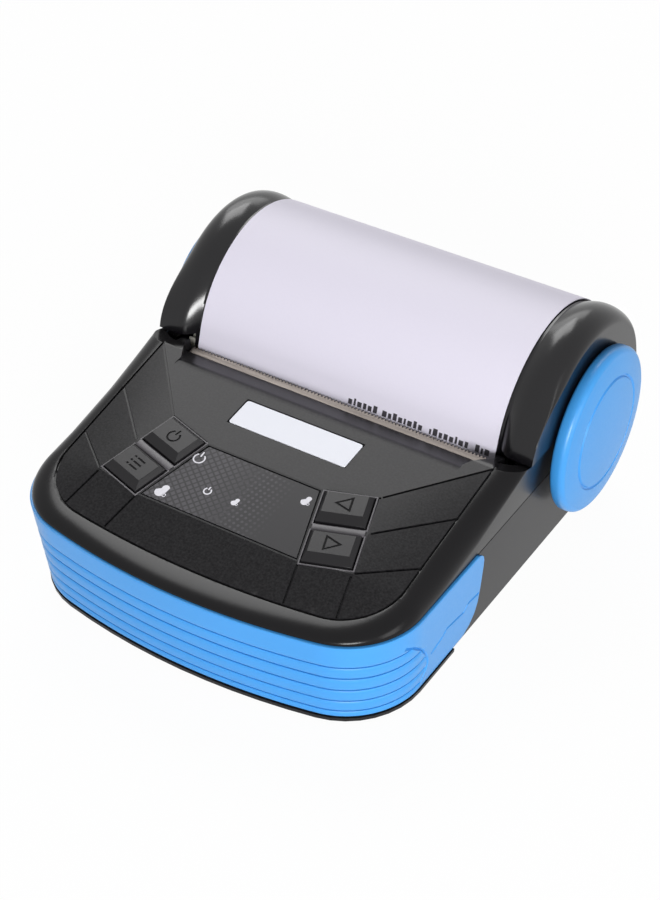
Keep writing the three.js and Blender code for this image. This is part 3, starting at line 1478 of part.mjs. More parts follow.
// Keys, with a switch under each
keySlots.forEach((slot) => {
  const { x, y, turn } = keyPlace(slot);
  const key = piece(`${slot.name}_key`, buildKey(), 'blackKey', panelFrame);
  const under = piece(`${slot.name}_switch`, buildSwitch(), 'steel', panelFrame);
  [key, under].forEach((mesh) => {
    mesh.position.set(x, y, 0);
    mesh.rotation.z = turn;
  });
});
piece('control_board', buildBoard(), 'board', panelFrame);
lampPlaces.forEach(([x, y], i) => {
  piece(`status_lamp_${i + 1}`, buildLamp(), 'lamp', panelFrame).position.set(x, y, 0);
});
boardPosts.forEach(([x, y], i) => {
  const { radius, height } = boardScrewHead;
  const length = boardThickness - boardTop - 2 * wall;
  const screw = latheZ(screwProfile(boardScrewRadius, radius, height, length), smallSides);
  piece(`board_screw_${i + 1}`, screw, 'steel', panelFrame).position.set(x, y, boardScrewBottom);
});

// Battery
piece('battery_pack', block([-battery.half, battery.half], [battery.front, battery.back],
  [battery.bottom, battery.bottom + battery.height]), 'battery');
piece('battery_hatch', buildHatch(), 'blackCase');
piece('hatch_screw', latheZ(screwProfile(
  hatchScrewRadius, screwHeadRadius, hatchThickness / 2 - fit, hatchBossHeight), smallSides), 'steel')
  .position.set(0, hatchScrewY, footHeight + fit / 2);

// Print mechanism
piece('mechanism_frame', buildFrame(), 'steel');
piece('heat_sink', buildHeatSink(), 'aluminium');
piece('print_head', block([-headHalf, headHalf], [headFace - ceramicThickness, headFace],
  [sinkTop - ceramicHeight, sinkTop - fit]), 'ceramic');
piece('head_spring_left', buildSpring(-springX), 'steel');
piece('head_spring_right', buildSpring(springX), 'steel');
piece('stepper_motor', buildMotor(), 'steel');
piece('motor_pinion', buildPinion(), 'brass');
piece('idler_gear_lower', gearAt(idlerTeeth, idlerA.phase, idlerA.y, idlerA.z, gearPinRadius + fit), 'gear');
piece('idler_gear_front', gearAt(idlerTeeth, idlerB.phase, idlerB.y, idlerB.z, gearPinRadius + fit), 'gear');
piece('paper_sensor', block([-sensor.half, sensor.half], [sensor.front, sensor.back],
  [shelfTop + fit, shelfTop + fit + sensor.height]), 'blackCase');

// Sockets at the back
piece('io_board', block([ioBoard.left, ioBoard.right], [ioBoard.front, ioBoard.back],
  [ioBoardBottom, ioBoardBottom + ioBoardThickness]), 'board');
piece('usb_socket', buildUsb(), 'steel');
piece('charge_socket', buildJack(), 'blackCase');

// Feet and case screws
const fourfold = (places) => places.flatMap(
  ([x, y], row) => [1, -1].map((side) => [side * x, y, row, side]));
fourfold(footPlaces).forEach(([x, y, row, side]) => {
  const name = `${row ? 'rear' : 'front'}_foot_${side > 0 ? 'right' : 'left'}`;
  piece(name, rodZ(footRadius, x, y, [0, footHeight + footRecess - fit]), 'rubber');
});
const caseScrew = latheZ(
  screwProfile(screwRadius, screwHeadRadius, screwHeadHeight - halfFit, screwLength), smallSides);
fourfold(columnPlaces).forEach(([x, y, row, side]) => {
  const name = `case_screw_${row ? 'rear' : 'front'}_${side > 0 ? 'right' : 'left'}`;
  piece(name, caseScrew, 'steel').position.set(x, y, footHeight + halfFit);
});

// Cover with its liner, grips and platen
const pinHalf = coverHalf - coverWall - fit;
piece('hinge_pin', rodX(pinRadius, [-pinHalf, pinHalf], hingeY, hingeZ, smallSides), 'steel');
piece('cover_shell', buildCover(), 'blackGloss');
piece('cover_liner', buildLiner(), 'innerCase');
const rightGrip = buildGrip();
piece('grip_right', rightGrip, 'blue');
piece('grip_left', mirrored(rightGrip), 'blue');
const bush = buildBush();
piece('platen_bush_right', bush, 'brass');
piece('platen_bush_left', mirrored(bush), 'brass');
piece('platen_roller', tubeX(
  platenRadius, shaftRadius + fit, paperHalf, platenY, platenZ, roundSides), 'rubber');
piece('platen_shaft', rodX(
  shaftRadius, [-gearOuter - fit, plateOuter + fit], platenY, platenZ, smallSides), 'steel');
piece('platen_gear', gearAt(platenTeeth, platenGear.phase, platenY, platenZ, shaftRadius + fit), 'gear');

// Paper
piece('paper_bin', buildBin(), 'innerCase');
piece('paper_roll', tubeX(
  rollRadius, coreRadius + fit / 2, paperHalf, rollAxisY, rollAxisZ, gripSides), 'paper');
piece('roll_core', tubeX(
  coreRadius, coreRadius - coreWall, paperHalf, rollAxisY, rollAxisZ, roundSides), 'core');
piece('paper_web', buildWeb(), 'paper');
piece('paper_strip', buildStrip(), 'paper');

export default printer;
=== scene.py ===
"""Looks of a wireless thermal receipt printer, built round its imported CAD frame.

Metres throughout. The case is black ABS, the bumper and the two grips are blue ABS, the cover
with its two arches is polished, and a printed strip of thermal paper lies over the cover.
"""

import math

import bmesh
import bpy
from mathutils import Matrix, Vector


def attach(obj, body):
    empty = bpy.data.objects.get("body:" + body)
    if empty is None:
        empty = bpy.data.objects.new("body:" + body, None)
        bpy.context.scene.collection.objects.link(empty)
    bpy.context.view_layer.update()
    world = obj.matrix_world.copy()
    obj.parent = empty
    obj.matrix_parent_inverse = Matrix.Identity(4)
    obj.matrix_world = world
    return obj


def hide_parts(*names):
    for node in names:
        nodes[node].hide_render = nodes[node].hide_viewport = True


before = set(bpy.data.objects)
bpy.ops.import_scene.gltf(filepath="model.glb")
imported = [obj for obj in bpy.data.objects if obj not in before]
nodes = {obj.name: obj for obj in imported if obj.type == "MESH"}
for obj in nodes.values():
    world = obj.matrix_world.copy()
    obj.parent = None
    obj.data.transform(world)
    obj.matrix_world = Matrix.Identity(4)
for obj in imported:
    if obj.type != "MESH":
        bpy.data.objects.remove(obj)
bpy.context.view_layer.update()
bpy.ops.object.select_all(action="DESELECT")
scene = bpy.context.scene
mm = 0.001

# Camera
# A long lens looks down on the printer from the right of its keys, as in a catalogue picture.
# Its place was solved from mirrored pairs of points on the case.
view_turn = math.radians(32.33)
view_drop = math.radians(38.53)
view_roll = math.radians(-0.11)
view_distance = 511.1 * mm
view_shift = (-2.2 * mm, 14.0 * mm)
view_centre = Vector((0, 8 * mm, 0))
forward = Vector((-math.sin(view_turn) * math.cos(view_drop),
                  math.cos(view_turn) * math.cos(view_drop), -math.sin(view_drop)))
level = Vector((math.cos(view_turn), math.sin(view_turn), 0))
upward = level.cross(forward)
camera_right = level * math.cos(view_roll) + upward * math.sin(view_roll)
camera_up = upward * math.cos(view_roll) - level * math.sin(view_roll)
camera_data = bpy.data.cameras.new("Catalogue camera")
camera_data.lens = 86.3
camera_data.sensor_width = 36
camera_data.clip_start = 0.01
camera = bpy.data.objects.new("Catalogue camera", camera_data)
scene.collection.objects.link(camera)
axes = Matrix((camera_right, camera_up, -forward)).transposed().to_4x4()
eye = view_centre - forward * view_distance + level * view_shift[0] + upward * view_shift[1]
camera.matrix_world = Matrix.Translation(eye) @ axes
scene.camera = camera
scene.view_settings.view_transform = "Standard"

# Floor and light
# A white sweep of paper under a large softbox behind the printer and two smaller ones in front.
# The camera and polished faces see plain white round the printer, and the sweep takes its shadow.


def linear(code):
    """An sRGB hex colour as linear RGBA."""
    parts = [int(code[i:i + 2], 16) / 255 for i in (1, 3, 5)]
    return [p / 12.92 if p <= 0.04045 else ((p + 0.055) / 1.055) ** 2.4 for p in parts] + [1]


def add_node(tree, kind, values=None, links=None, **settings):
    """One shader node: its socket values, what is linked into it, and its own settings.

    A node given as a link stands for its first output.
    """
    node = tree.nodes.new("ShaderNode" + kind)
    for key, value in settings.items():
        setattr(node, key, value)
    for key, value in (values or {}).items():
        node.inputs[key].default_value = value
    for key, source in (links or {}).items():
        tree.links.new(getattr(source, "outputs", [source])[0], node.inputs[key])
    return node


def empty_tree(name):
    """A new material and its node tree, with no nodes in it."""
    material = bpy.data.materials.new(name)
    material.use_nodes = True
    material.node_tree.nodes.clear()
    return material, material.node_tree


def seen_directly(tree):
    """1 for rays from the camera, through glass or off a polished face, else 0."""
    path = add_node(tree, "LightPath")
    first = add_node(tree, "Math", links={0: path.outputs["Is Camera Ray"],
                                          1: path.outputs["Is Glossy Ray"]}, operation="MAXIMUM")
    return add_node(tree, "Math", links={0: first, 1: path.outputs["Is Transmission Ray"]},
                    operation="MAXIMUM")


world = bpy.data.worlds.new("Studio")
scene.world = world
world.use_nodes = True
tree = world.node_tree
tree.nodes.clear()
ambient = add_node(tree, "Background", {"Color": (1, 1, 1, 1), "Strength": 0.21})
backdrop = add_node(tree, "Background", {"Color": (1, 1, 1, 1), "Strength": 1.0})
split = add_node(tree, "MixShader", links={0: seen_directly(tree), 1: ambient, 2: backdrop})
add_node(tree, "OutputWorld", links={"Surface": split})

sweep_paper, tree = empty_tree("Studio sweep paper")
matte = add_node(tree, "BsdfDiffuse", {"Color": linear("#f4f4f4")})
glow = add_node(tree, "Emission", {"Color": (1, 1, 1, 1), "Strength": 1.0})
weight = add_node(tree, "Math", {1: 0.96}, {0: seen_directly(tree)}, operation="MULTIPLY")
blend = add_node(tree, "MixShader", links={0: weight, 1: matte, 2: glow})
add_node(tree, "OutputMaterial", links={"Surface": blend})
bpy.ops.mesh.primitive_plane_add(size=6, location=(0, 0, 0))
floor = bpy.context.object
floor.name = "studio_floor"
floor.data.materials.append(sweep_paper)

lamp_aim = Vector((0, 0, 20 * mm))
for name, spot, size, watts in (
        ("Rear softbox", (-0.58, 0.74, 1.12), (0.75, 0.6), 8.0),
        ("Rear strip", (-0.80, 1.30, 0.92), (1.3, 0.6), 5.2),
        ("Front fill", (0.68, -1.02, 0.45), (0.42, 0.34), 15.5),
        ("Right strip", (1.10, -0.20, 0.30), (0.4, 0.7), 3.6)):
    lamp_data = bpy.data.lights.new(name, "AREA")
    lamp_data.shape = "RECTANGLE"
    lamp_data.size, lamp_data.size_y = size
    lamp_data.energy = watts
    lamp = bpy.data.objects.new(name, lamp_data)
    lamp.location = spot
    lamp.rotation_euler = (lamp_aim - Vector(spot)).to_track_quat("-Z", "Y").to_euler()
    scene.collection.objects.link(lamp)

# Base tray
# The lower half of the case, moulded in black ABS with a fine spark-eroded skin, which breaks up
# highlights without hiding them. Its parting edge is the thin line under the housing.


def moulded_plastic(name, colour, rough, grain, depth, spread=0.12, specular=0.5, glints=0.0):
    """Moulded plastic: grain is the pitch of its skin and depth the height, both in metres."""
    material, tree = empty_tree(name)
    spot = add_node(tree, "TexCoord").outputs["Object"]
    skin = add_node(tree, "TexNoise", {"Scale": 1 / grain, "Detail": 3.0, "Roughness": 0.6},
                    {"Vector": spot})
    flow = add_node(tree, "TexNoise", {"Scale": 1 / (28 * mm), "Detail": 2.0}, {"Vector": spot})
    dark, light = ([c * (1 + way * spread) for c in linear(colour)[:3]] + [1] for way in (-1, 1))
    tint = add_node(tree, "MixRGB", {1: dark, 2: light}, {0: flow})
    # glints mixes pale grey into specks of the colour: painted glints on the skin.
    painted_glint_mask = add_node(tree, "MapRange", {1: 0.35, 2: 0.75, 3: 0.0, 4: glints}, {0: skin})
    glint_tint = add_node(tree, "MixRGB", {2: (0.5, 0.5, 0.52, 1)}, {0: painted_glint_mask, 1: tint})
    sheen = add_node(tree, "MapRange", {1: 0.3, 2: 0.7, 3: rough * 0.92, 4: rough * 1.08}, {0: skin})
    bump = add_node(tree, "Bump", {"Strength": 0.6, "Distance": depth}, {"Height": skin})
    shell = add_node(tree, "BsdfPrincipled", {"IOR": 1.53, "Specular IOR Level": specular},
                     {"Base Color": glint_tint, "Roughness": sheen, "Normal": bump})
    add_node(tree, "OutputMaterial", links={"Surface": shell})
    return material


weld_distance, flat_angle, crisp_angle = 0.002 * mm, math.radians(0.6), 42


def activate(piece):
    """The one selected and active object, as if clicked."""
    bpy.ops.object.select_all(action="DESELECT")
    piece.select_set(True)
    bpy.context.view_layer.objects.active = piece


def node_copy(node):
    """A welded copy of a piece from the frame, free to be worked on."""
    piece = nodes[node].copy()
    piece.data = nodes[node].data.copy()
    piece.name = node + "_finished"
    piece.parent = None
    for key in list(piece.keys()):
        del piece[key]
    scene.collection.objects.link(piece)
    activate(piece)
    bpy.ops.object.mode_set(mode="EDIT")
    bpy.ops.mesh.select_all(action="SELECT")
    bpy.ops.mesh.remove_doubles(threshold=weld_distance)
    bpy.ops.mesh.dissolve_limited(angle_limit=flat_angle)
    bpy.ops.object.mode_set(mode="OBJECT")
    return piece


def finish(piece, body, node, material, radius=0.0, steps=2, sharp=30, even=True):
    """Rounds the sharp edges, shades the faces, attaches the piece to its body and hides its node."""
    activate(piece)
    if radius:
        edge = piece.modifiers.new("Edge rounding", "BEVEL")
        edge.width = radius
        edge.segments = steps
        edge.limit_method = "ANGLE"
        edge.angle_limit = math.radians(sharp)
        edge.use_clamp_overlap = True
        bpy.ops.object.modifier_apply(modifier=edge.name)
    crisp = max(sharp, crisp_angle) if radius else sharp
    bpy.ops.object.shade_smooth_by_angle(angle=math.radians(crisp))
    if even:
        weigh = piece.modifiers.new("Even shading", "WEIGHTED_NORMAL")
        weigh.keep_sharp = True
        weigh.weight = 60
        bpy.ops.object.modifier_apply(modifier=weigh.name)
    piece.data.materials.clear()
    piece.data.materials.append(material)
    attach(piece, body)
    if node:
        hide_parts(node)
    piece.select_set(False)
    return piece


def dress(node, body, material, radius=0.0, steps=2, even=True):
    """A piece whose CAD shape is right: its copy gets edges rounded to a radius in millimetres."""
    return finish(node_copy(node), body, node, material, radius * mm, steps, even=even)


# Its faint pale specks are painted glints.
black_abs = moulded_plastic("Black ABS, spark-eroded skin", "#0f0e10", 0.31, 0.5 * mm, 0.03 * mm,
                            specular=0.12, glints=0.03)
dress("base_tray", "case", black_abs, 0.2)

# Top housing
# The upper half of the case, one moulding of the same black ABS: the sloped key panel inside its
# rounded rim, fine panel lines, the slope down to the tear bar and two walls beside the cover.
tear_y = 8.0
body_front, body_back = -59.5, 59.5
parting_z, seam_z = 24.5, 34.1
wall, fit, overrun = 1.7, 0.3, 4.0
cover_half, trough_half = 49.7, 40.35
floor_half, side_draft = 46.6, 0.08
floor_front, front_lean = -56.0, 2.9
front_draft = front_lean / parting_z
front_arc, body_corner = 157.0, 18.0
outline_half, outline_front, outline_arc, outline_corner = 43.85, -52.3, 240.0, 14.3
ridge_y, ridge_z, edge_slope = 0.7, 36.2, 0.186
panel_depth = ridge_y - outline_front
key_back_z, panel_slope, label_slope = 33.9, 0.19, 0.097
block_lead, prong_setback, parting_gap, rim_foot_gap = 0.5, 13.3, 0.15, 0.15
block_back, prong_back = tear_y + block_lead, body_back - prong_setback
housing_bottom = parting_z + parting_gap
arc_steps, corner_steps, side_steps, rim_steps, facet_rows = 40, 24, 6, 12, 6


def lerp(a, b, t):
    """From a to b by the share t, for numbers or for points."""
    if isinstance(a, tuple):
        return tuple(lerp(p, q, t) for p, q in zip(a, b))
    return a + (b - a) * t


def smooth(t):
    """A share that starts and ends level, held between 0 and 1."""
    t = min(1.0, max(0.0, t))
    return t * t * (3 - 2 * t)


def plan(half, front, arc, corner, back, stops):
    """Plan outline from the middle of the front: a shallow arc, a round corner, a straight side."""
    corner_x = half - corner
    arc_y = front + arc
    corner_y = arc_y - math.sqrt((arc - corner) ** 2 - corner_x ** 2)
    tangent = math.atan2(corner_x, arc_y - corner_y)
    right = []
    for i in range(1, arc_steps + 1):
        t = tangent * i / arc_steps
        right.append((arc * math.sin(t), arc_y - arc * math.cos(t)))
    for i in range(1, corner_steps + 1):
        t = lerp(tangent - math.pi / 2, 0, i / corner_steps)
        right.append((corner_x + corner * math.cos(t), corner_y + corner * math.sin(t)))
    right += [(half, y) for y in stops] + [(half, back)]
    return [(0.0, front)] + right + [(-x, y) for x, y in reversed(right)]


def body_plan(z, grow, back, stops):
    """Plan of the drafted case at height z, moved outwards by grow."""
    return plan(floor_half + side_draft * z + grow, floor_front - front_draft * z - grow,
                front_arc + grow, body_corner + grow, back, stops)


def on_panel(across, along):
    """A place on the panel, from shares of its half width and depth."""
    return outline_half * across, outline_front + panel_depth * along


key_back_y = on_panel(0, 0.5623)[1]
key_corners = {"a": on_panel(0.618, 0.6321), "b": on_panel(0.3466, 0.5623),
               "e": on_panel(0.6864, 0.4453), "c": on_panel(0.7434, 0.2472),
               "d": on_panel(0.4766, 0.2019)}
split_outer, split_inner = on_panel(0.7959, 0.066), on_panel(0.5245, 0.0321)
side_split_shares = (0.4226, 0.7057)
side_splits = [on_panel(1, share)[1] for share in side_split_shares]
rim_drop, rim_drop_at_seam = 5.2, 2.2
rim_ease_from = on_panel(0, 0.7038)[1]
panel_stops = ([lerp(side_splits[0], side_splits[1], k / side_steps) for k in range(side_steps)]
               + [lerp(side_splits[1], ridge_y, k / side_steps) for k in range(side_steps)]
               + [ridge_y, block_back])


def panel_z(y):
    return key_back_z + panel_slope * (y - key_back_y)


def label_z(y):
    return key_back_z + label_slope * (y - key_back_y)


def edge_z(y):
    return ridge_z + edge_slope * (y - ridge_y)


def rim_height(y):
    ease = min(1.0, max(0.0, (y - rim_ease_from) / (block_back - rim_ease_from)))
    return min(lerp(rim_drop, rim_drop_at_seam, ease), edge_z(y) - housing_bottom - rim_foot_gap)


def solid(name, points, faces):
    """A closed mesh from points in millimetres, welded, with its faces turned outwards."""
    mesh = bpy.data.meshes.new(name)
    mesh.from_pydata([Vector(point) * mm for point in points], [], faces)
    piece = bpy.data.objects.new(name, mesh)
    scene.collection.objects.link(piece)
    activate(piece)
    bpy.ops.object.mode_set(mode="EDIT")
    bpy.ops.mesh.select_all(action="SELECT")
    bpy.ops.mesh.remove_doubles(threshold=weld_distance)
    bpy.ops.mesh.normals_make_consistent(inside=False)
    bpy.ops.object.mode_set(mode="OBJECT")
    return piece


def through(name, rings):
    """A closed skin through rings of equally many points, capped at both ends."""
    count = len(rings[0])
    points = [point for ring in rings for point in ring]
    faces = [list(reversed(range(count))), list(range(len(points) - count, len(points)))]
    for start in range(0, len(points) - count, count):
        for i in range(count):
            a, b = start + i, start + (i + 1) % count
            faces.append((a, b, b + count, a + count))
    return solid(name, points, faces)


def drawn_up(name, outline, low, high):
    """A flat outline of (x, y) drawn up along Z."""
    return through(name, [[(x, y, z) for x, y in outline] for z in (low, high)])


def drawn_across(name, outline, low, high):
    """A flat outline of (y, z) drawn out along X."""
    return through(name, [[(x, y, z) for y, z in outline] for x in (low, high)])


def box(name, x, y, z):
    """A block between (low, high) ranges."""
    return drawn_up(name, [(x[0], y[0]), (x[1], y[0]), (x[1], y[1]), (x[0], y[1])], *z)


def rod(name, radius, spot, span, turn=(0, 0, 0), sides=48):
    """A round bar of radius about the middle of its axis at spot, in millimetres."""
    bpy.ops.mesh.primitive_cylinder_add(vertices=sides, radius=radius * mm, depth=span * mm,
                                        location=Vector(spot) * mm, rotation=turn)
    piece = bpy.context.object
    piece.name = name
    bpy.ops.object.transform_apply(location=True, rotation=True, scale=True)
    return piece


def gathered(pieces, name="gathered"):
    """Several pieces as one object."""
    activate(pieces[0])
    for piece in pieces:
        piece.select_set(True)
    bpy.ops.object.join()
    bpy.context.object.name = name
    return bpy.context.object


def placed(piece, matrix):
    """The piece with its mesh moved by matrix, whose lengths are in millimetres."""
    shift = matrix.copy()
    shift.translation = matrix.translation * mm
    piece.data.transform(shift)
    return piece


def combine(piece, operation, other):
    """Joins or intersects piece with other, or cuts other out of it, and takes other away."""
    step = piece.modifiers.new("Step", "BOOLEAN")
    step.object = other
    step.operation = operation
    step.solver = "EXACT"
    activate(piece)
    bpy.ops.object.modifier_apply(modifier=step.name)
    bpy.data.objects.remove(other, do_unlink=True)
    return piece


def cut(piece, other):
    return combine(piece, "DIFFERENCE", other)


def panel_block(name, inset, bottom):
    """The solid under the panel's surface, moved inwards and down by inset."""
    back = prong_back + (overrun if inset else 0)
    low = body_plan(parting_z, -inset, back, panel_stops)
    high = body_plan(seam_z, -inset, back, panel_stops)
    inner = plan(outline_half - inset, outline_front + inset, outline_arc, outline_corner, back,
                 panel_stops)
    count = len(inner)
    points = [(x, y, bottom) for x, y in low]
    for step in range(rim_steps + 1):
        turn = math.pi / 2 * step / rim_steps
        for i, (x, y) in enumerate(inner):
            foot = edge_z(y) - rim_height(y)
            share = (foot - parting_z) / (seam_z - parting_z)
            ox, oy = lerp(low[i], high[i], share)
            points.append((lerp(x, ox, math.cos(turn)), lerp(y, oy, math.cos(turn)),
                           foot + rim_height(y) * math.sin(turn) - inset))
    faces = [list(reversed(range(count)))]
    for start in range(0, (rim_steps + 1) * count, count):
        for i in range(count):
            a, b = start + i, start + (i + 1) % count
            faces.append((a, b, b + count, a + count))
    first = (rim_steps + 1) * count
    base = arc_steps + corner_steps + 1

    def run(start, end, side=1):
        return [points[first + (i if side > 0 else (count - i) % count)] for i in range(start, end + 1)]

    def corner(letter, side):
        x, y = key_corners[letter]
        return side * x, y, (label_z if letter in "ab" else panel_z)(y) - inset

    def rail(start, end, steps):
        return [lerp(start, end, k / steps) for k in range(steps + 1)]

    def add_face(corners):
        faces.append(list(range(len(points), len(points) + len(corners))))
        points.extend(corners)

    def patch(inner_rail, outer_rail):
        rows = [[lerp(p, q, row / facet_rows) for p, q in zip(inner_rail, outer_rail)]
                for row in range(facet_rows + 1)]
        for lower, upper in zip(rows, rows[1:]):
            for i in range(len(lower) - 1):
                square = [lower[i], lower[i + 1], upper[i + 1], upper[i]]
                add_face(square if lower[i] != lower[i + 1] else [lower[i], upper[i + 1], upper[i]])

    def nearest(spot):
        return min(range(base), key=lambda i: math.dist(inner[i], spot))

    outer, near = nearest(split_outer), nearest(split_inner)
    middle_edge, ridge_end, bar_end = base + side_steps, base + 2 * side_steps, base + 2 * side_steps + 1
    edges = {}
    for side in (1, -1):
        a, b, c, d, e = (corner(letter, side) for letter in "abcde")
        edges[side] = {"ea": rail(e, a, side_steps), "ce": rail(c, e, side_steps),
                       "dc": rail(d, c, outer - near)}
        patch(edges[side]["ea"], run(middle_edge, ridge_end, side))
        patch(edges[side]["ce"], run(base, middle_edge, side))
        patch([c] * (base - outer + 1), run(outer, base, side))
        patch(edges[side]["dc"], run(near, outer, side))
        add_face([b] + edges[side]["ea"])
    front_run = run(0, near, -1)[::-1] + run(1, near, 1)
    front_rail = rail(corner("d", -1), corner("d", 1), 2 * near)
    patch(front_rail, front_run)
    right, left = edges[1], edges[-1]
    add_face(front_rail + right["dc"][1:] + right["ce"][1:] + [corner("b", 1), corner("b", -1)]
             + left["ce"][::-1] + left["dc"][::-1][1:-1])
    sides = {side: rail(corner("a", side), run(ridge_end, ridge_end, side)[0], facet_rows)
             for side in (1, -1)}
    add_face([corner("b", -1), corner("b", 1)] + sides[1] + sides[-1][::-1])
    ridge, bar, rear = ({side: run(i, i, side)[0] for side in (1, -1)}
                        for i in (ridge_end, bar_end, bar_end + 1))
    add_face([ridge[-1], ridge[1], bar[1], bar[-1]])
    add_face([bar[-1], bar[1], rear[1], rear[-1]])
    return solid(name, points, faces)


notch_margin, slope_top_half = 0.8, 37.3
notch_half = trough_half + notch_margin
slope_setbacks = (12, 10.6, 9.3, 2.4)
roll_front, roll_middle, slope_top, shelf_y = (tear_y - setback for setback in slope_setbacks)
shelf_z, slope_foot_z = 30.9, 32.0
roll_drops, slope_lean = (0.12, 0.5), 0.75


def slope_cut(name, wider, drop, back):
    """Room over the slope that rolls off the label facet down to the tear bar's shelf."""
    shift, high = drop * slope_lean, ridge_z + 2 * overrun
    profile = drawn_across(name, [
        (roll_front - shift, label_z(roll_front) - drop),
        (roll_middle - shift, label_z(roll_middle) - roll_drops[0] - drop),
        (slope_top - shift, label_z(slope_top) - roll_drops[1] - drop),
        (shelf_y - shift, slope_foot_z - drop), (shelf_y - shift, shelf_z - drop),
        (back, shelf_z - drop), (back, high), (roll_front - shift, high)],
        -notch_half - wider, notch_half + wider)
    right = [(slope_top_half + wider, roll_front - overrun), (slope_top_half + wider, slope_top - shift),
             (notch_half + wider, shelf_y - shift), (notch_half + wider, back + overrun)]
    outline = right + [(-x, y) for x, y in reversed(right)]
    return combine(profile, "INTERSECT", drawn_up(
        "slope_plan", outline, shelf_z - drop - overrun, high + overrun))


panel_mid_y = on_panel(0, 0.383)[1]
label_mid_y = on_panel(0, 0.7906)[1]
panel_tilt, label_tilt = math.atan(panel_slope), math.atan(label_slope)
panel_frame = (Matrix.Translation((0, panel_mid_y, panel_z(panel_mid_y)))
               @ Matrix.Rotation(panel_tilt, 4, "X"))
label_frame = (Matrix.Translation((0, label_mid_y, label_z(label_mid_y)))
               @ Matrix.Rotation(label_tilt, 4, "X"))


def in_panel(across, along):
    """A place in the panel's own tilted frame."""
    x, y = on_panel(across, along)
    return x, (y - panel_mid_y) / math.cos(panel_tilt)


key_pitch_share, key_gap_share = 0.2094, 0.2343
key_width, key_pitch, key_turn = 11.1, panel_depth * key_pitch_share, math.radians(16.6)
key_depth = key_pitch * (1 - key_gap_share)
key_column = in_panel(0.545, 0.4094)
key_slots = {"power": (-1, 1), "menu": (-1, -1), "back": (1, 1), "feed": (1, -1)}


def key_frame(key):
    """Where a key stands: its own frame in the panel's."""
    side, row = key_slots[key]
    along = row * key_pitch / 2
    spot = (side * (key_column[0] - along * math.sin(key_turn)),
            key_column[1] + along * math.cos(key_turn), 0)
    return panel_frame @ Matrix.Translation(spot) @ Matrix.Rotation(side * key_turn, 4, "Z")


film_back, film_front, film_recess = in_panel(0.3284, 0.5491), in_panel(0.4561, 0.2151), 0.5
label_half_share, label_depth_share, label_recess = 0.348, 0.1509, 0.95
label_half, label_depth = outline_half * label_half_share, panel_depth * label_depth_share
lamps = [in_panel(0.3238, 0.3151), in_panel(0.1003, 0.3377)]
posts = [in_panel(-0.1938, 0.4774), in_panel(0.1938, 0.2132)]
rear_column_x, rear_column_setback = 43.9, 6.2
columns = [on_panel(0.9236, 0.33), (rear_column_x, prong_back - rear_column_setback)]
boss_radii, rear_boss_drop, post_radius, board_top = (2.15, 2.0), 0.9, 2.2, -6.55
clear_above, bay_margin = 20, 2

housing = panel_block("top_housing_finished", 0, housing_bottom)
cut(housing, slope_cut("slope_room", 0, 0, prong_back))
cut(housing, drawn_across(
    "seam_room", [(ridge_y, ridge_z), (tear_y - fit, seam_z), (prong_back + overrun, seam_z),
                  (prong_back + overrun, ridge_z + clear_above), (ridge_y, ridge_z + clear_above)],
    -cover_half - overrun, cover_half + overrun))
cavity = panel_block("cavity", wall, housing_bottom - overrun)
cut(cavity, slope_cut("slope_inside", wall, wall, tear_y))
cut(housing, cavity)

# The gears stand outside the paper's bay, so the ledge beside them is narrower.
side_wall_half, ledge_run, ledge_thickness = 49.33, 13.5, 1.8
ledge_outer, ledge_front = side_wall_half - wall / 2, tear_y + ledge_run
bay_half, gear_room_half = trough_half + bay_margin, 45.65
for inner_x, span in ((bay_half, (ledge_front, prong_back)),
                      (gear_room_half, (tear_y - wall / 2, ledge_front + wall))):
    for side in (1, -1):
        combine(housing, "UNION", box("ledge", sorted((side * inner_x, side * ledge_outer)), span,
                                      (seam_z - ledge_thickness, seam_z)))
for row, (x, y) in enumerate(columns):
    top = seam_z - rear_boss_drop if row else edge_z(y) - wall / 2
    bosses = [rod("boss", boss_radii[row], (side * x, y, (housing_bottom + top) / 2),
                  top - housing_bottom) for side in (1, -1)]
    combine(housing, "UNION", gathered(bosses))
post_low, post_high = board_top + fit, -wall / 2
combine(housing, "UNION", gathered([
    placed(rod("post", post_radius, (x, y, (post_low + post_high) / 2), post_high - post_low), panel_frame)
    for x, y in posts]))

key_half, key_reach = key_width / 2 + fit, key_depth / 2 + fit
openings = [placed(box("key_hole", (-key_half, key_half), (-key_reach, key_reach),
                       (-wall - overrun, overrun)), key_frame(key)) for key in key_slots]
openings.append(placed(drawn_up("film_room", [
    (-film_back[0] - fit, film_back[1] + fit), (-film_front[0] - fit, film_front[1] - fit),
    (film_front[0] + fit, film_front[1] - fit), (film_back[0] + fit, film_back[1] + fit)],
    -film_recess, overrun), panel_frame))
openings.append(placed(box("label_room", (-label_half - fit, label_half + fit),
                           (-label_depth / 2 - fit, label_depth / 2 + fit),
                           (-label_recess, overrun)), label_frame))
cut(housing, gathered(openings))
lamp_bore_radius, post_bore_radius, screw_bore_radius = 1.8, 1.2, 1.3
lamp_bore_middle, lamp_bore_span, screw_bore_middle, screw_bore_span = -3, 9, 14, 28.6
bores = [placed(rod("lamp_bore", lamp_bore_radius, (side * x, y, lamp_bore_middle), lamp_bore_span,
                    sides=32), panel_frame) for x, y in lamps for side in (1, -1)]
bores += [placed(rod("post_bore", post_bore_radius, (x, y, (board_top - wall) / 2), -wall - board_top,
                     sides=24), panel_frame) for x, y in posts]
bores += [rod("screw_bore", screw_bore_radius, (side * x, y, screw_bore_middle), screw_bore_span,
              sides=24) for x, y in columns for side in (1, -1)]
cut(housing, gathered(bores))
for half, span in ((bay_half, (tear_y - fit, prong_back + overrun)),
                   (gear_room_half, (tear_y - fit, ledge_front))):
    cut(housing, box("rear_room", (-half, half), span,
                     (housing_bottom - overrun, seam_z + overrun)))

groove_width, groove_depth, groove_lead, groove_tail = 0.55, 0.45, 0.5, 0.15


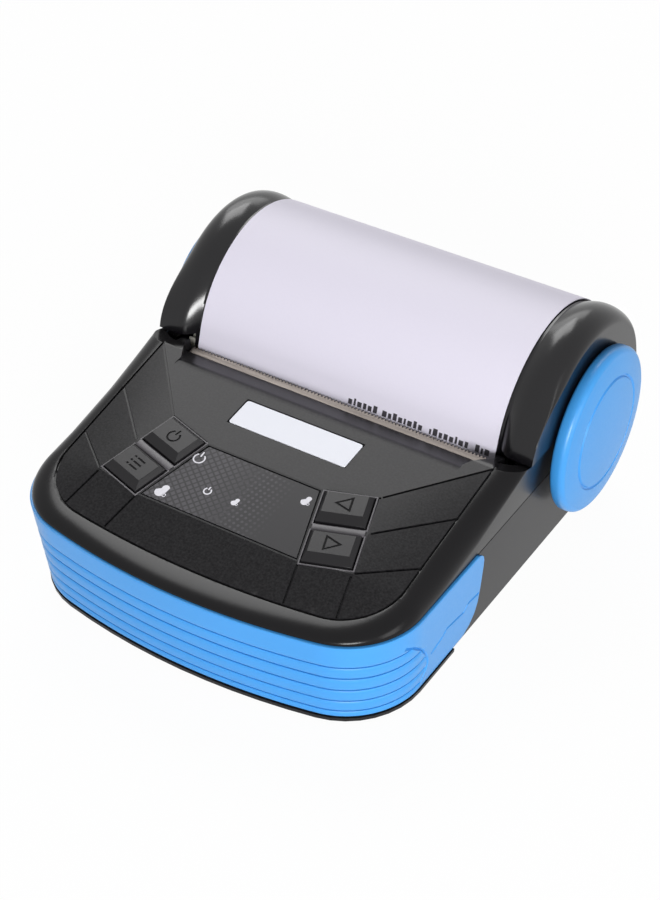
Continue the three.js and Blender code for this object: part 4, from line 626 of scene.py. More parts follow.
def groove_band(name):
    """The panel line round the outline, a U that runs out over the ridge."""
    bands = [plan(outline_half + grow, outline_front - grow, outline_arc + grow,
                  outline_corner + grow, ridge_y + overrun, side_splits)
             for grow in (groove_width / 2, -groove_width / 2)]
    split_at = len(bands[0]) // 2 + 1
    rings = []
    for index in list(range(split_at, len(bands[0]))) + list(range(split_at)):
        (ox, oy), (ix, iy) = bands[0][index], bands[1][index]
        rings.append([(ox, oy, edge_z(oy) - groove_depth), (ix, iy, edge_z(iy) - groove_depth),
                      (ix, iy, edge_z(iy) + overrun), (ox, oy, edge_z(oy) + overrun)])
    return through(name, rings)


def facet_groove(start, start_z, end, end_z):
    """A straight panel line from a corner of the key area out to the rim."""
    span = math.dist(start, end)
    head = lerp((*start, start_z), (*end, end_z), groove_lead / span)
    tail = lerp((*start, start_z), (*end, end_z), 1 + groove_tail / span)
    run = Vector(tail) - Vector(head)
    piece = box("facet_line", (-run.length / 2, run.length / 2), (-groove_width / 2, groove_width / 2),
                (-groove_depth, groove_depth))
    return placed(piece, Matrix.Translation((Vector(head) + Vector(tail)) / 2)
                  @ Matrix.Rotation(math.atan2(run.y, run.x), 4, "Z")
                  @ Matrix.Rotation(-math.asin(run.z / run.length), 4, "Y"))


cut(housing, groove_band("outline_line"))
lines = []
for start, end in (("a", (outline_half, ridge_y)), ("e", (outline_half, side_splits[1])),
                   ("c", (outline_half, side_splits[0])), ("c", split_outer), ("d", split_inner)):
    x, y = key_corners[start]
    height = (label_z if start == "a" else panel_z)(y)
    for side in (1, -1):
        lines.append(facet_groove((side * x, y), height, (side * end[0], end[1]), edge_z(end[1])))
for side in (1, -1):
    back, corner = ((side * x, y) for x, y in (key_corners["b"], key_corners["a"]))
    lines.append(facet_groove(back, label_z(back[1]), corner, label_z(corner[1])))
cut(housing, gathered(lines))


def within(outline, x, y):
    """Whether a place lies inside a closed outline."""
    crossings = sum((y0 > y) != (y1 > y) and x < lerp(x0, x1, (y - y0) / (y1 - y0))
                    for (x0, y0), (x1, y1) in zip(outline, outline[1:] + outline[:1]))
    return crossings % 2 == 1


crease_angle, crease_level = math.radians(1.3), 0.85


def crease_facets(piece):
    """Marks the shallow edges between the panel's facets, which are crisp on the moulding."""
    border = plan(outline_half - groove_width, outline_front + groove_width, outline_arc,
                  outline_corner, roll_front - fit, [])
    shape = bmesh.new()
    shape.from_mesh(piece.data)
    for edge in shape.edges:
        if len(edge.link_faces) != 2 or edge.calc_face_angle(0) < crease_angle:
            continue
        middle = (edge.verts[0].co + edge.verts[1].co) / (2 * mm)
        level = all(face.normal.z > crease_level for face in edge.link_faces)
        if level and within(border, middle.x, middle.y):
            edge.smooth = False
    shape.to_mesh(piece.data)
    shape.free()


activate(housing)
rounding = housing.modifiers.new("Edge rounding", "BEVEL")
rounding.width = 0.12 * mm
rounding.segments = 2
rounding.limit_method = "ANGLE"
rounding.angle_limit = math.radians(24)
bpy.ops.object.modifier_apply(modifier=rounding.name)
crease_facets(housing)
finish(housing, "case", "top_housing", black_abs, sharp=42)

# The rim and the outer walls are left smooth from the tool, so they carry long highlights, and
# only the panel is textured.
smooth_abs = moulded_plastic("Black ABS, smooth from the tool", "#0d0c0e", 0.22, 0.6 * mm, 0.006 * mm,
                             specular=0.17)
housing.data.materials.append(smooth_abs)
border = plan(outline_half, outline_front, outline_arc, outline_corner, body_back, [])
for face in housing.data.polygons:
    if not within(border, face.center.x / mm, face.center.y / mm):
        face.material_index = 1

# The lip round each key's opening and the low ribs between the keys are coloured pale grey, a
# painted highlight for the light that their rounded edges catch.
# Pale grey here is painted highlight, not the colour of the moulding.
pale_lip_highlight_abs = moulded_plastic("Black ABS lip, painted highlight", "#464348", 0.3, 0.4 * mm, 0.01 * mm, specular=0.3)
lip_width, lip_height, lip_root = 0.36, 0.1, 0.2
lips = []
for key in key_slots:
    lip = box("key_lip", (-key_half - lip_width, key_half + lip_width),
              (-key_reach - lip_width, key_reach + lip_width), (-lip_root, lip_height))
    cut(lip, box("lip_room", (-key_half, key_half), (-key_reach, key_reach), (-1, 1)))
    lips.append(placed(lip, key_frame(key)))
rib_half = (key_pitch - key_depth) / 2 - fit
for upper, lower in (("power", "menu"), ("back", "feed")):
    middle = key_frame(upper).copy()
    middle.translation = (key_frame(upper).translation + key_frame(lower).translation) / 2
    crown = [(-rib_half, -lip_root), (rib_half, -lip_root), (rib_half, 0.1), (rib_half * 0.6, 0.16),
             (0, 0.19), (-rib_half * 0.6, 0.18), (-rib_half, 0.12)]
    lips.append(placed(drawn_across("key_rib", crown, -key_half, key_half), middle))
finish(gathered(lips, "key_lips"), "case", None, pale_lip_highlight_abs, 0.05 * mm, 1, even=False)

# Front bumper
# A band of blue ABS round the front, clipped over the tray: five louvred ribs under a plain band,
# which die out on a curve before the smooth leaf on each side.
bumper_bottom, bumper_top, bumper_inset, bumper_proud = 2.1, 24.5, 0.8, 0.6
rib_lines = (4.1, 7.4, 11.0, 14.8, 18.3)
rib_profile = ((0.04, 0.12), (0.09, 0.03), (0.2, 0.0), (0.5, 0.0), (0.66, 0.05), (0.77, 0.15),
               (0.84, 0.32), (0.86, 0.95), (0.95, 0.95), (0.965, 0.28))
rib_ends = ((0.0, -39.0), (3.65, -35.4), (6.0, -33.6), (8.2, -33.1), (10.2, -33.6), (12.6, -34.9),
            (15.35, -37.0), (18.0, -40.0), (19.6, -42.8), (30.0, -42.8))
crease_line = ((-32.0, 9.7), (-27.6, 10.9), (-25.6, 12.2), (-18.0, 10.9), (-16.4, 12.3), (-11.6, 11.6))
leaf_back = on_panel(1, 0.7755)[1]
leaf_curve = ((-7.8, 2.1), (-5.2, 2.6), (-2.9, 3.9), (-1.1, 6.0), (-0.2, 8.8), (0.0, 12.3), (0.0, 16.0),
              (0.0, 19.4), (-0.15, 21.4), (-0.7, 22.9), (-1.7, 23.9), (-3.0, bumper_top))
below_bumper, above_bumper = -6.0, 29
leaf_outline = ([(body_front - overrun, below_bumper), (leaf_back + leaf_curve[0][0], below_bumper)]
                + [(leaf_back + y, z) for y, z in leaf_curve]
                + [(leaf_back + leaf_curve[-1][0], above_bumper), (body_front - overrun, above_bumper)])
arc_steps, corner_steps = 60, 48


def along_table(table, value):
    """The value read off a table of (place, value) pairs, straight between them."""
    for (x0, y0), (x1, y1) in zip(table, table[1:]):
        if value <= x1:
            return lerp(y0, y1, (value - x0) / (x1 - x0))
    return table[-1][1]


foot_roll, last_rib_roll = ((0.0, 0.3), (0.12, 0.1)), (0.15, 0.06)
top_roll = ((0.35, 0.0), (0.12, 0.1), (0.0, 0.4))
first_rib_height, rib_clear, plain_rows = 3.5, 0.2, 9


def bumper_levels():
    """Heights up the band, each with the share of the ribs' depth that it lies in."""
    levels = [(bumper_bottom + rise, depth) for rise, depth in foot_roll]
    starts = (rib_lines[0] - first_rib_height,) + rib_lines[:-1]
    for low, high in zip(starts, rib_lines):
        levels += [(lerp(low, high, share), depth) for share, depth in rib_profile
                   if lerp(low, high, share) > bumper_bottom + rib_clear]
    levels.append((rib_lines[-1] + last_rib_roll[0], last_rib_roll[1]))
    levels += [(lerp(rib_lines[-1], bumper_top, k / plain_rows), 0.0) for k in range(1, plain_rows)]
    return levels + [(bumper_top - drop, depth) for drop, depth in top_roll]


side_start, side_pitch, side_count, rib_fade, groove_reach = -34.8, 0.6, 58, 0.7, 1
side_stops = [side_start + side_pitch * k for k in range(side_count)]
bumper_rings = []
for z, share in bumper_levels():
    outside = body_plan(z, bumper_proud, 0, side_stops)
    inside = body_plan(z, bumper_proud - groove_reach, 0, side_stops)
    ribbed = bumper_bottom + rib_clear < z < rib_lines[-1] + rib_clear
    ring = []
    for near_point, far_point in zip(outside, inside):
        past = near_point[1] - along_table(rib_ends, z)
        deep = share * smooth(-past / rib_fade) if ribbed else share
        ring.append((*lerp(near_point, far_point, deep), z))
    bumper_rings.append(ring)
bumper = through("front_bumper_finished", bumper_rings)
cut(bumper, through("bumper_inside", [
    [(x, y, z) for x, y in body_plan(z, -bumper_inset, overrun, side_stops)]
    for z in (bumper_bottom - overrun, bumper_top + overrun)]))
combine(bumper, "INTERSECT", drawn_across(
    "leaf_outline", leaf_outline, -cover_half - overrun, cover_half + overrun))


def on_bumper(y, z):
    """The place and outward direction of the right outer face of the band, at a place and height."""
    outline = [point for point in body_plan(z, bumper_proud, 0, side_stops) if point[0] > 0]
    for (x0, y0), (x1, y1) in zip(outline, outline[1:]):
        if y0 <= y <= y1 and y1 > y0:
            return (Vector((lerp(x0, x1, (y - y0) / (y1 - y0)), y, z)),
                    Vector((y1 - y0, x0 - x1, 0)).normalized())
    return Vector((outline[-1][0], y, z)), Vector((1, 0, 0))


score_overrun, leaf_edge_radius = 0.6, 0.32
leaf_slack, outer_margin, leaf_edge_angle = 0.05, 0.4, 0.6


def score(line, width, depth):
    """Cuts a narrow V along a line of (y, z) in the band's face, on both sides."""
    places = [on_bumper(y, z) for y, z in line]
    rings = []
    for i, (spot, out) in enumerate(places):
        along = places[min(i + 1, len(places) - 1)][0] - places[max(i - 1, 0)][0]
        across = along.cross(out).normalized() * width / 2 * (1 + score_overrun / depth)
        mouth = spot + out * score_overrun
        rings.append([tuple(spot - out * depth), tuple(mouth + across), tuple(mouth - across)])
    for side in (1, -1):
        cut(bumper, through("score", [
            [(side * x, y, z) for x, y, z in ring] for ring in rings]))


score(crease_line, 0.75, 0.55)
score([(y, z) for z, y in rib_ends[1:-1]], 0.8, 0.5)


def round_leaf_edges(piece):
    """Rounds the outer edges along the back outline of the two leaves."""
    shape = bmesh.new()
    shape.from_mesh(piece.data)
    chosen = []
    for edge in shape.edges:
        y, z = (sum(vert.co[k] for vert in edge.verts) / (2 * mm) for k in (1, 2))
        on_back = any(abs(y - lerp(y0, y1, (z - z0) / (z1 - z0))) < leaf_slack
                      for (y0, z0), (y1, z1) in zip(leaf_outline[1:-2], leaf_outline[2:-1])
                      if z0 <= z <= z1 and z1 > z0)
        outer = all(abs(vert.co.x) / mm > floor_half + side_draft * vert.co.z / mm + outer_margin
                    for vert in edge.verts)
        if on_back and outer and edge.calc_face_angle(0) > leaf_edge_angle:
            chosen.append(edge)
    bmesh.ops.bevel(shape, geom=chosen, offset=leaf_edge_radius * mm, offset_type="OFFSET", segments=3,
                    profile=0.5, affect="EDGES", clamp_overlap=True)
    shape.to_mesh(piece.data)
    shape.free()


round_leaf_edges(bumper)


def satin_blue(name, colour, rough):
    """Blue ABS off a polished tool: smooth, a little cloudy inside and slightly see-through."""
    material, tree = empty_tree(name)
    spot = add_node(tree, "TexCoord").outputs["Object"]
    cloud = add_node(tree, "TexNoise", {"Scale": 1 / (20 * mm), "Detail": 2.0}, {"Vector": spot})
    dark, light = ([min(1, c * share) for c in linear(colour)[:3]] + [1] for share in (0.95, 1.05))
    tint = add_node(tree, "MixRGB", {1: dark, 2: light}, {0: cloud})
    skin = add_node(tree, "TexNoise", {"Scale": 1 / (0.7 * mm), "Detail": 3.0}, {"Vector": spot})
    sheen = add_node(tree, "MapRange", {1: 0.3, 2: 0.7, 3: rough * 0.9, 4: rough * 1.1}, {0: skin})
    bump = add_node(tree, "Bump", {"Strength": 0.5, "Distance": 0.012 * mm}, {"Height": skin})
    shell = add_node(tree, "BsdfPrincipled", {
        "IOR": 1.53, "Specular IOR Level": 0.4, "Subsurface Weight": 0.04,
        "Subsurface Radius": (0.4 * mm, 0.7 * mm, 1.2 * mm), "Subsurface Scale": 1.0},
        {"Base Color": tint, "Roughness": sheen, "Normal": bump})
    add_node(tree, "OutputMaterial", links={"Surface": shell})
    return material


blue_abs = satin_blue("Blue ABS, satin", "#3a90d5", 0.36)
finish(bumper, "case", "front_bumper", blue_abs, sharp=40)

# Keys
# Four moulded caps in two turned columns, each a plateau on a bevelled skirt with a symbol
# engraved in it, its faces painted dark as shade. A flange under the panel holds each in its opening.
key_proud, plateau_y, symbol_depth, symbol_width = 1.6, 0.55, 0.14, 0.42
symbol_room, shade_depths = (3.2, 2.6), (0.03, 0.2)


def stroke(name, path, width, low, high, closed=False):
    """A line of even width along a flat path, as a solid between two heights."""
    rings = []
    for i, (x, y) in enumerate(path):
        before = path[i - 1] if closed or i else None
        after = path[(i + 1) % len(path)] if closed or i + 1 < len(path) else None
        ways = [Vector((b[0] - a[0], b[1] - a[1])).normalized()
                for a, b in ((before, (x, y)), ((x, y), after)) if a and b]
        sides = [Vector((-way.y, way.x)) for way in ways]
        across = (sides[0] + sides[-1]).normalized()
        reach = across * (width / 2 / max(0.5, across.dot(sides[0])))
        rings.append([(x + reach.x, y + reach.y, low), (x - reach.x, y - reach.y, low),
                      (x - reach.x, y - reach.y, high), (x + reach.x, y + reach.y, high)])
    if not closed:
        return through(name, rings)
    points = [point for ring in rings for point in ring]
    faces = []
    for start in range(0, len(points), 4):
        nxt = (start + 4) % len(points)
        faces += [(start + k, start + (k + 1) % 4, nxt + (k + 1) % 4, nxt + k) for k in range(4)]
    return solid(name, points, faces)


def arc(radius, start, end, steps, spot=(0.0, 0.0)):
    """Points on an arc about a spot, from one angle to another in degrees."""
    turns = [math.radians(lerp(start, end, k / steps)) for k in range(steps + 1)]
    return [(spot[0] + radius * math.cos(t), spot[1] + radius * math.sin(t)) for t in turns]


symbols = {
    "power": [(arc(1.45, 122, 418, 20, (0, 0.2)), False), ([(0.0, 0.7), (0.0, 2.3)], False)],
    "menu": [([(low, y), (high, y)], False) for y in (-0.7, 0.55, 1.8)
             for low, high in ((-1.7, -1.15), (-0.7, 1.7))],
    "back": [([(-1.9, 0.55), (1.4, -1.2), (1.4, 2.3)], True)],
    "feed": [([(1.9, 0.55), (-1.4, 2.3), (-1.4, -1.2)], True)],
}
# The caps come smooth off the tool, so their bevels show as thin, lighter lines.
black_key = moulded_plastic("Black key moulding", "#19181a", 0.33, 0.4 * mm, 0.012 * mm, specular=0.22)


def printed_ink(name, dark, light, speck, rough, specular=0.5):
    """Dried ink, uneven between two tones in specks of a real size."""
    material, tree = empty_tree(name)
    spot = add_node(tree, "TexCoord").outputs["Object"]
    grain = add_node(tree, "TexNoise", {"Scale": 1 / speck}, {"Vector": spot})
    tint = add_node(tree, "MixRGB", {1: linear(dark), 2: linear(light)}, {0: grain})
    shell = add_node(tree, "BsdfPrincipled", {"Roughness": rough, "Specular IOR Level": specular},
                     {"Base Color": tint})
    add_node(tree, "OutputMaterial", links={"Surface": shell})
    return material


# The faces inside the engraved lines are painted near-black as shade in the narrow groove.
groove_shade_paint = printed_ink("Painted shade in an engraved line", "#040405", "#0a0a0b", 0.3 * mm, 0.7, 0.15)
for key in key_slots:
    cap = node_copy(f"{key}_key")
    cutters = [stroke("symbol", path, symbol_width, key_proud - symbol_depth, key_proud + 1, closed)
               for path, closed in symbols[key]]
    cut(cap, placed(gathered(cutters), key_frame(key)))
    finish(cap, f"{key}_button", f"{key}_key", black_key, 0.2 * mm, 3, sharp=28)
    cap.data.materials.append(groove_shade_paint)
    to_key = (Matrix.Translation(key_frame(key).translation * mm)
              @ key_frame(key).to_quaternion().to_matrix().to_4x4()).inverted()
    for face in cap.data.polygons:
        x, y, z = to_key @ face.center / mm
        on_plateau = abs(x) < symbol_room[0] and abs(y - plateau_y) < symbol_room[1]
        if on_plateau and key_proud - shade_depths[1] < z < key_proud - shade_depths[0]:
            face.material_index = 1

# Overlay film
# Polyester film laid into the panel between the keys, printed from behind: fine crossed lines on
# the left that break up into dots and fade out. Small signs stand over the status lamps.
film_ink, tree = empty_tree("Polyester film, printed from behind")
spot = add_node(tree, "TexCoord").outputs["Object"]


def cells(pitch, turn):
    """Square cells of a pitch in millimetres, turned by degrees: the place from each cell's middle."""
    weave = add_node(tree, "Mapping", {"Rotation": (0, 0, math.radians(turn)),
                                       "Scale": (1 / (pitch * mm),) * 3}, {"Vector": spot})
    cell = add_node(tree, "VectorMath", links={0: weave}, operation="FRACTION")
    return add_node(tree, "VectorMath", {1: (0.5, 0.5, 0.0)}, {0: cell}, operation="SUBTRACT")


# The printed lines are 1.3 mm apart, and their lattice is turned to run with the key columns.
square = add_node(tree, "VectorMath", links={0: cells(1.3, 38)}, operation="ABSOLUTE")
parts = add_node(tree, "SeparateXYZ", links={0: square})
edge = add_node(tree, "Math", links={0: parts.outputs["X"], 1: parts.outputs["Y"]}, operation="MAXIMUM")
lattice = add_node(tree, "MapRange", {1: 0.3, 2: 0.4, 3: 1.0, 4: 0.0}, {0: edge})
flat = add_node(tree, "VectorMath", {1: (1.0, 1.0, 0.0)}, {0: cells(1.25, 8)}, operation="MULTIPLY")
reach = add_node(tree, "VectorMath", links={0: flat}, operation="LENGTH")
dots = add_node(tree, "MapRange", {1: 0.32, 2: 0.2, 3: 0.0, 4: 1.0}, {0: reach.outputs["Value"]})
across_film = add_node(tree, "SeparateXYZ", links={0: spot})


def faded(pattern, begin, end, before, after):
    """The pattern with its strength led from before to after between two places across the film."""
    fade = add_node(tree, "MapRange", {1: begin * mm, 2: end * mm, 3: before, 4: after},
                    {0: across_film.outputs["X"]})
    return add_node(tree, "Math", links={0: pattern, 1: fade}, operation="MULTIPLY")


lattice = faded(lattice, -8, 3, 0.85, 0.0)
dots = faded(faded(dots, -4, 1, 0.0, 0.75), 4, 10, 1.0, 0.0)
print_mask = add_node(tree, "Math", links={0: lattice, 1: dots}, operation="MAXIMUM")
film_tint = add_node(tree, "MixRGB", {1: linear("#1c1b1e"), 2: linear("#444247")}, {0: print_mask})
film_skin = add_node(tree, "TexNoise", {"Scale": 1 / (0.5 * mm), "Detail": 2.0}, {"Vector": spot})
film_bump = add_node(tree, "Bump", {"Strength": 0.4, "Distance": 0.006 * mm}, {"Height": film_skin})
film_shell = add_node(tree, "BsdfPrincipled", {"Roughness": 0.38, "IOR": 1.6, "Specular IOR Level": 0.16},
                      {"Base Color": film_tint, "Normal": film_bump})
add_node(tree, "OutputMaterial", links={"Surface": film_shell})
dress("overlay_film", "case", film_ink, 0.06)

white_ink = printed_ink("White screen ink", "#c9c8d0", "#e2e1e8", 0.35 * mm, 0.45)
film_top, ink_height, ink_root = -0.025, 0.02, 0.1
ink_span = (film_top - ink_root, film_top + ink_height)


def on_film(x, y):
    """A place on the film, from a place on the ground."""
    return x, (y - panel_mid_y) / math.cos(panel_tilt)


# Two rings with a tick and three leaf shapes, each of these with a small ring beside it.
signs = []
for (x, y), radius, width in (((-14.4, -27.0), 1.3, 0.34), ((-7.4, -34.0), 0.85, 0.32)):
    cx, cy = on_film(x, y)
    signs.append(stroke("ring", arc(radius, 125, 415, 24, (cx, cy)), width, *ink_span))
    signs.append(stroke("tick", [(cx, cy + 0.45 * radius), (cx, cy + 1.55 * radius)], width, *ink_span))
for (x, y), reach in (((-16.4, -38.2), 1.35), ((-0.2, -33.8), 0.8), ((13.4, -26.7), 1.0)):
    cx, cy = on_film(x, y)
    leaf = (arc(0.66 * reach, 200, 20, 10, (cx + 0.25 * reach, cy + 0.6 * reach))
            + arc(0.95 * reach, 330, 170, 10, (cx - 0.2 * reach, cy - 0.4 * reach)))
    signs.append(drawn_up("sign", leaf, *ink_span))
    signs.append(stroke("ring", arc(0.3 * reach, 0, 345, 14, (cx + 0.75 * reach, cy - 0.75 * reach)),
                        0.16 * reach, *ink_span))
finish(placed(gathered(signs, "film_signs"), panel_frame), "case", None, white_ink,
       even=False)

# Label plate
# A thin plate of white ABS, pressed into its recess in the slope above the keys. Its face is bare,
# smooth and a little cool, and its edges are rounded just enough to catch the light.
white_abs = moulded_plastic("White ABS, polished", "#e9ebf3", 0.4, 0.8 * mm, 0.004 * mm, 0.015, 0.12)
dress("label_plate", "case", white_abs, 0.1, 3)

# Tear bar
# A strip of rolled stainless steel with fine stamped teeth, held on the shelf before the paper.
# Rolling leaves marks along its length, which draw its highlight out sideways.


def worked_metal(name, colour, rough, grain, stretch=(0.05, 1, 1)):
    """Bare metal: its rolling or turning marks run along the axes that stretch makes small."""
    material, tree = empty_tree(name)
    spot = add_node(tree, "TexCoord").outputs["Object"]
    marks = add_node(tree, "Mapping", {"Scale": stretch}, {"Vector": spot})
    skin = add_node(tree, "TexNoise", {"Scale": 1 / grain, "Detail": 3.0}, {"Vector": marks})
    dark, light = ([min(1, c * share) for c in linear(colour)[:3]] + [1] for share in (0.85, 1.1))
    tint = add_node(tree, "MixRGB", {1: dark, 2: light}, {0: skin})
    sheen = add_node(tree, "MapRange", {1: 0.3, 2: 0.7, 3: rough * 0.8, 4: rough * 1.2}, {0: skin})
    bump = add_node(tree, "Bump", {"Strength": 0.4, "Distance": 0.004 * mm}, {"Height": skin})
    shell = add_node(tree, "BsdfPrincipled", {"Metallic": 1.0},
                     {"Base Color": tint, "Roughness": sheen, "Normal": bump})
    add_node(tree, "OutputMaterial", links={"Surface": shell})
    return material


steel = worked_metal("Rolled stainless steel", "#6b6561", 0.36, 0.5 * mm)
dress("tear_bar", "case", steel, 0.03, 1)

# Cover shell
# The hinged cover, moulded in black ABS against a polished tool, whose gloss mirrors the lamps:
# a cylinder that the paper lies on, between two arches whose feet flare out to the seam with the
# housing.
cover_radius, cover_axis_y, cover_axis_z = 26.2, 35.45, 28.2
arch_rise, shoulder_radius, foot_radius = 1.1, 23.6, 28.9
hinge_setback, hinge_z, barrel_radius, pin_radius = 3.15, 27.5, 3.0, 1.2
hinge_y = body_back - hinge_setback
seam_angle, flare_angle, shoulder_angle = 165, 136, 122
cover_wall, lip_bottom = 2.0, 31.6
cover_steps, cover_sweep, arch_steps, crest_share = 96, 174, 14, 0.45
flat_from, flat_over = 18, 13


def cover_reach(reach, radius):
    """Flattens the rear of the cylinder so that it meets the back of the case."""
    def flat(value):
        if value < flat_from:
            return value
        return flat_from + flat_over * (1 - math.exp(-(value - flat_from) / flat_over))
    return flat(reach) * (body_back - cover_axis_y) / flat(radius) if reach > 0 else reach


def cover_radius_at(share, angle):
    """The section's radius at a share of the way over an arch, from the paper to the side."""
    crest = lerp(cover_radius + arch_rise, foot_radius,
                 smooth((angle - flare_angle) / (seam_angle - flare_angle)))
    outer = lerp(shoulder_radius, foot_radius,
                 smooth((angle - shoulder_angle) / (seam_angle - shoulder_angle)))
    if share < 1:
        return lerp(cover_radius, crest, math.sin(math.pi / 2 * share))
    return lerp(outer, crest, math.cos(math.pi / 2 * (share - 1)))


def cover_block(name, inset, bottom):
    """The solid inside the cover's skin, moved inwards by inset."""
    crest_x = lerp(trough_half, cover_half, crest_share)
    stations = []
    for i in range(2 * arch_steps + 1):
        share = i / arch_steps
        x = (lerp(trough_half, crest_x, share) if share < 1
             else lerp(crest_x, cover_half - inset, math.sin(math.pi / 2 * (share - 1))))
        stations.append((x, share))
    rings = []
    for x, share in [(-x, share) for x, share in reversed(stations)] + stations:
        arch = []
        for i in range(cover_steps + 1):
            angle = cover_sweep * i / cover_steps
            r, turn = cover_radius_at(share, angle), math.radians(angle)
            arch.append((x, cover_axis_y + cover_reach(r * math.cos(turn), r) - inset * math.cos(turn),
                         cover_axis_z + (r - inset) * math.sin(turn)))
        rings.append([(x, arch[-1][1], bottom), (x, arch[0][1], bottom)] + arch)
    return through(name, rings)


skirt_drop, skirt_margin, seam_gap, lug_span = 12, 0.5, 0.5, (33, 39)
low = hinge_z - skirt_drop
cover = cover_block("cover_shell_finished", 0, low)
cut(cover, cover_block("cover_inside", cover_wall, low - overrun))
skirt, far = trough_half + skirt_margin, cover_half + overrun
front = cover_axis_y - cover_radius - overrun
side_bottom = hinge_z - barrel_radius + fit
for side in (1, -1):
    cut(cover, box("foot_room", sorted((side * skirt, side * far)),
                   (front, prong_back + seam_gap), (low - overrun, seam_z + seam_gap)))
    near = cover_half - cover_wall - overrun
    cut(cover, box("side_room", sorted((side * near, side * far)),
                   (cover_axis_y, hinge_y), (low - overrun, side_bottom)))
cut(cover, box("lip_room", (-skirt - overrun, skirt + overrun),
               (front, cover_axis_y), (low - overrun, lip_bottom)))
cut(cover, box("barrel_room", (-cover_half + cover_wall, cover_half - cover_wall),
               (cover_axis_y, body_back + overrun), (low - overrun, hinge_z)))
cut(cover, box("back_room", (-far, far), (hinge_y, body_back + overrun),
               (low - overrun, hinge_z)))
sideways = (0, math.pi / 2, 0)
combine(cover, "UNION", rod("barrel", barrel_radius, (0, hinge_y, hinge_z), 2 * (cover_half - fit),
                            sideways))
cut(cover, gathered([
    box("lug_room", sorted((side * (lug_span[0] - fit), side * (lug_span[1] + fit))),
        (hinge_y - barrel_radius - fit, body_back + overrun),
        (hinge_z - barrel_radius - fit, hinge_z + barrel_radius + fit)) for side in (1, -1)]))
cut(cover, rod("pin_room", pin_radius + fit, (0, hinge_y, hinge_z),
               2 * (cover_half - cover_wall), sideways))
grip_radius, grip_drop, stud_radius, stud_offset, stud_room_depth = 20.0, 0.6, 2.4, 7, 10
grip_z = cover_axis_z - grip_drop
stud_z = (seam_z + grip_z + grip_radius) / 2
cut(cover, gathered([
    rod("stud_room", stud_radius + fit, (side * cover_half, cover_axis_y + stud_offset * k, stud_z),
        stud_room_depth, sideways) for side in (1, -1) for k in (1, -1)]))
polished_abs = moulded_plastic("Black ABS, polished", "#0a090c", 0.2, 5 * mm, 0.006 * mm, 0.08, 0.36)
finish(cover, "cover", "cover_shell", polished_abs, 0.18 * mm, 2, sharp=36)

# Grips
# A round blue ABS grip on the outside of each arch: a thick rolled rim round a gently domed face
# with a ring line, held by two studs through the cover. Opening the cover starts here.
grip_back, grip_rim, grip_dome = cover_half + fit, 2.9, 4.9
ring_radius, ring_width, ring_floor, ring_depth, grip_edge = 13.6, 0.45, 0.16, 0.4, 1.5
step_radii, face_radii = (17.9, 17.3, 16.6, 15.9, 15.2, 14.6), (12.4, 11.2, 9.9, 8.5, 7.0, 5.4, 3.7, 1.9)
edge_steps, spin_steps = 8, 112


def grip_face(r):
    return grip_rim + (grip_dome - grip_rim) * math.sqrt(max(0.0, 1 - (r / grip_radius) ** 2))


def grip_profile():
    """Half of the grip's section, from the middle of its back over the rim and the ring line."""
    rim_height_at = grip_face(grip_radius - grip_edge)
    profile = [(0.0, 0.0), (grip_radius - 0.9, 0.0), (grip_radius - 0.35, 0.2), (grip_radius, 0.75)]
    for k in range(edge_steps + 1):
        turn = math.pi / 2 * k / edge_steps
        profile.append((grip_radius - grip_edge + grip_edge * math.cos(turn),
                        rim_height_at - grip_edge + grip_edge * math.sin(turn)))
    profile += [(r, grip_face(r)) for r in step_radii]
    profile += [(ring_radius + ring_width, grip_face(ring_radius + ring_width)),
                (ring_radius + ring_floor, grip_face(ring_radius) - ring_depth),
                (ring_radius - ring_floor, grip_face(ring_radius) - ring_depth),
                (ring_radius - ring_width, grip_face(ring_radius - ring_width))]
    profile += [(r, grip_face(r)) for r in face_radii]
    return profile + [(0.0, grip_dome)]


for side, name in ((1, "right"), (-1, "left")):
    mesh = bpy.data.meshes.new(f"grip_{name}")
    outline = [Vector((side * (grip_back + h), cover_axis_y, grip_z + r)) * mm for r, h in grip_profile()]
    mesh.from_pydata(outline, [(i, i + 1) for i in range(len(outline) - 1)], [])
    grip = bpy.data.objects.new(f"grip_{name}_finished", mesh)
    scene.collection.objects.link(grip)
    activate(grip)
    bpy.ops.object.mode_set(mode="EDIT")
    bpy.ops.mesh.select_all(action="SELECT")
    bpy.ops.mesh.spin(steps=spin_steps, angle=math.tau, center=Vector((0, cover_axis_y, grip_z)) * mm,
                      axis=(1, 0, 0))
    bpy.ops.mesh.select_all(action="SELECT")
    bpy.ops.mesh.remove_doubles(threshold=0.003 * mm)
    bpy.ops.mesh.normals_make_consistent(inside=False)
    bpy.ops.object.mode_set(mode="OBJECT")
    stud_low, stud_high = cover_half - cover_wall, grip_back + grip_edge
    combine(grip, "UNION", gathered([
        rod("stud", stud_radius, (side * (stud_low + stud_high) / 2, cover_axis_y + stud_offset * k, stud_z),
            stud_high - stud_low, sideways) for k in (1, -1)]))
    finish(grip, "cover", f"grip_{name}", blue_abs, sharp=38, even=False)

# Paper
# Thermal paper, 80 mm wide: a part-used roll wound on a card core, the web that climbs from it to
# the roller, and the printed strip, which passes the tear bar and lies back over the cover.
roll_centre = (36.3, 21.3)


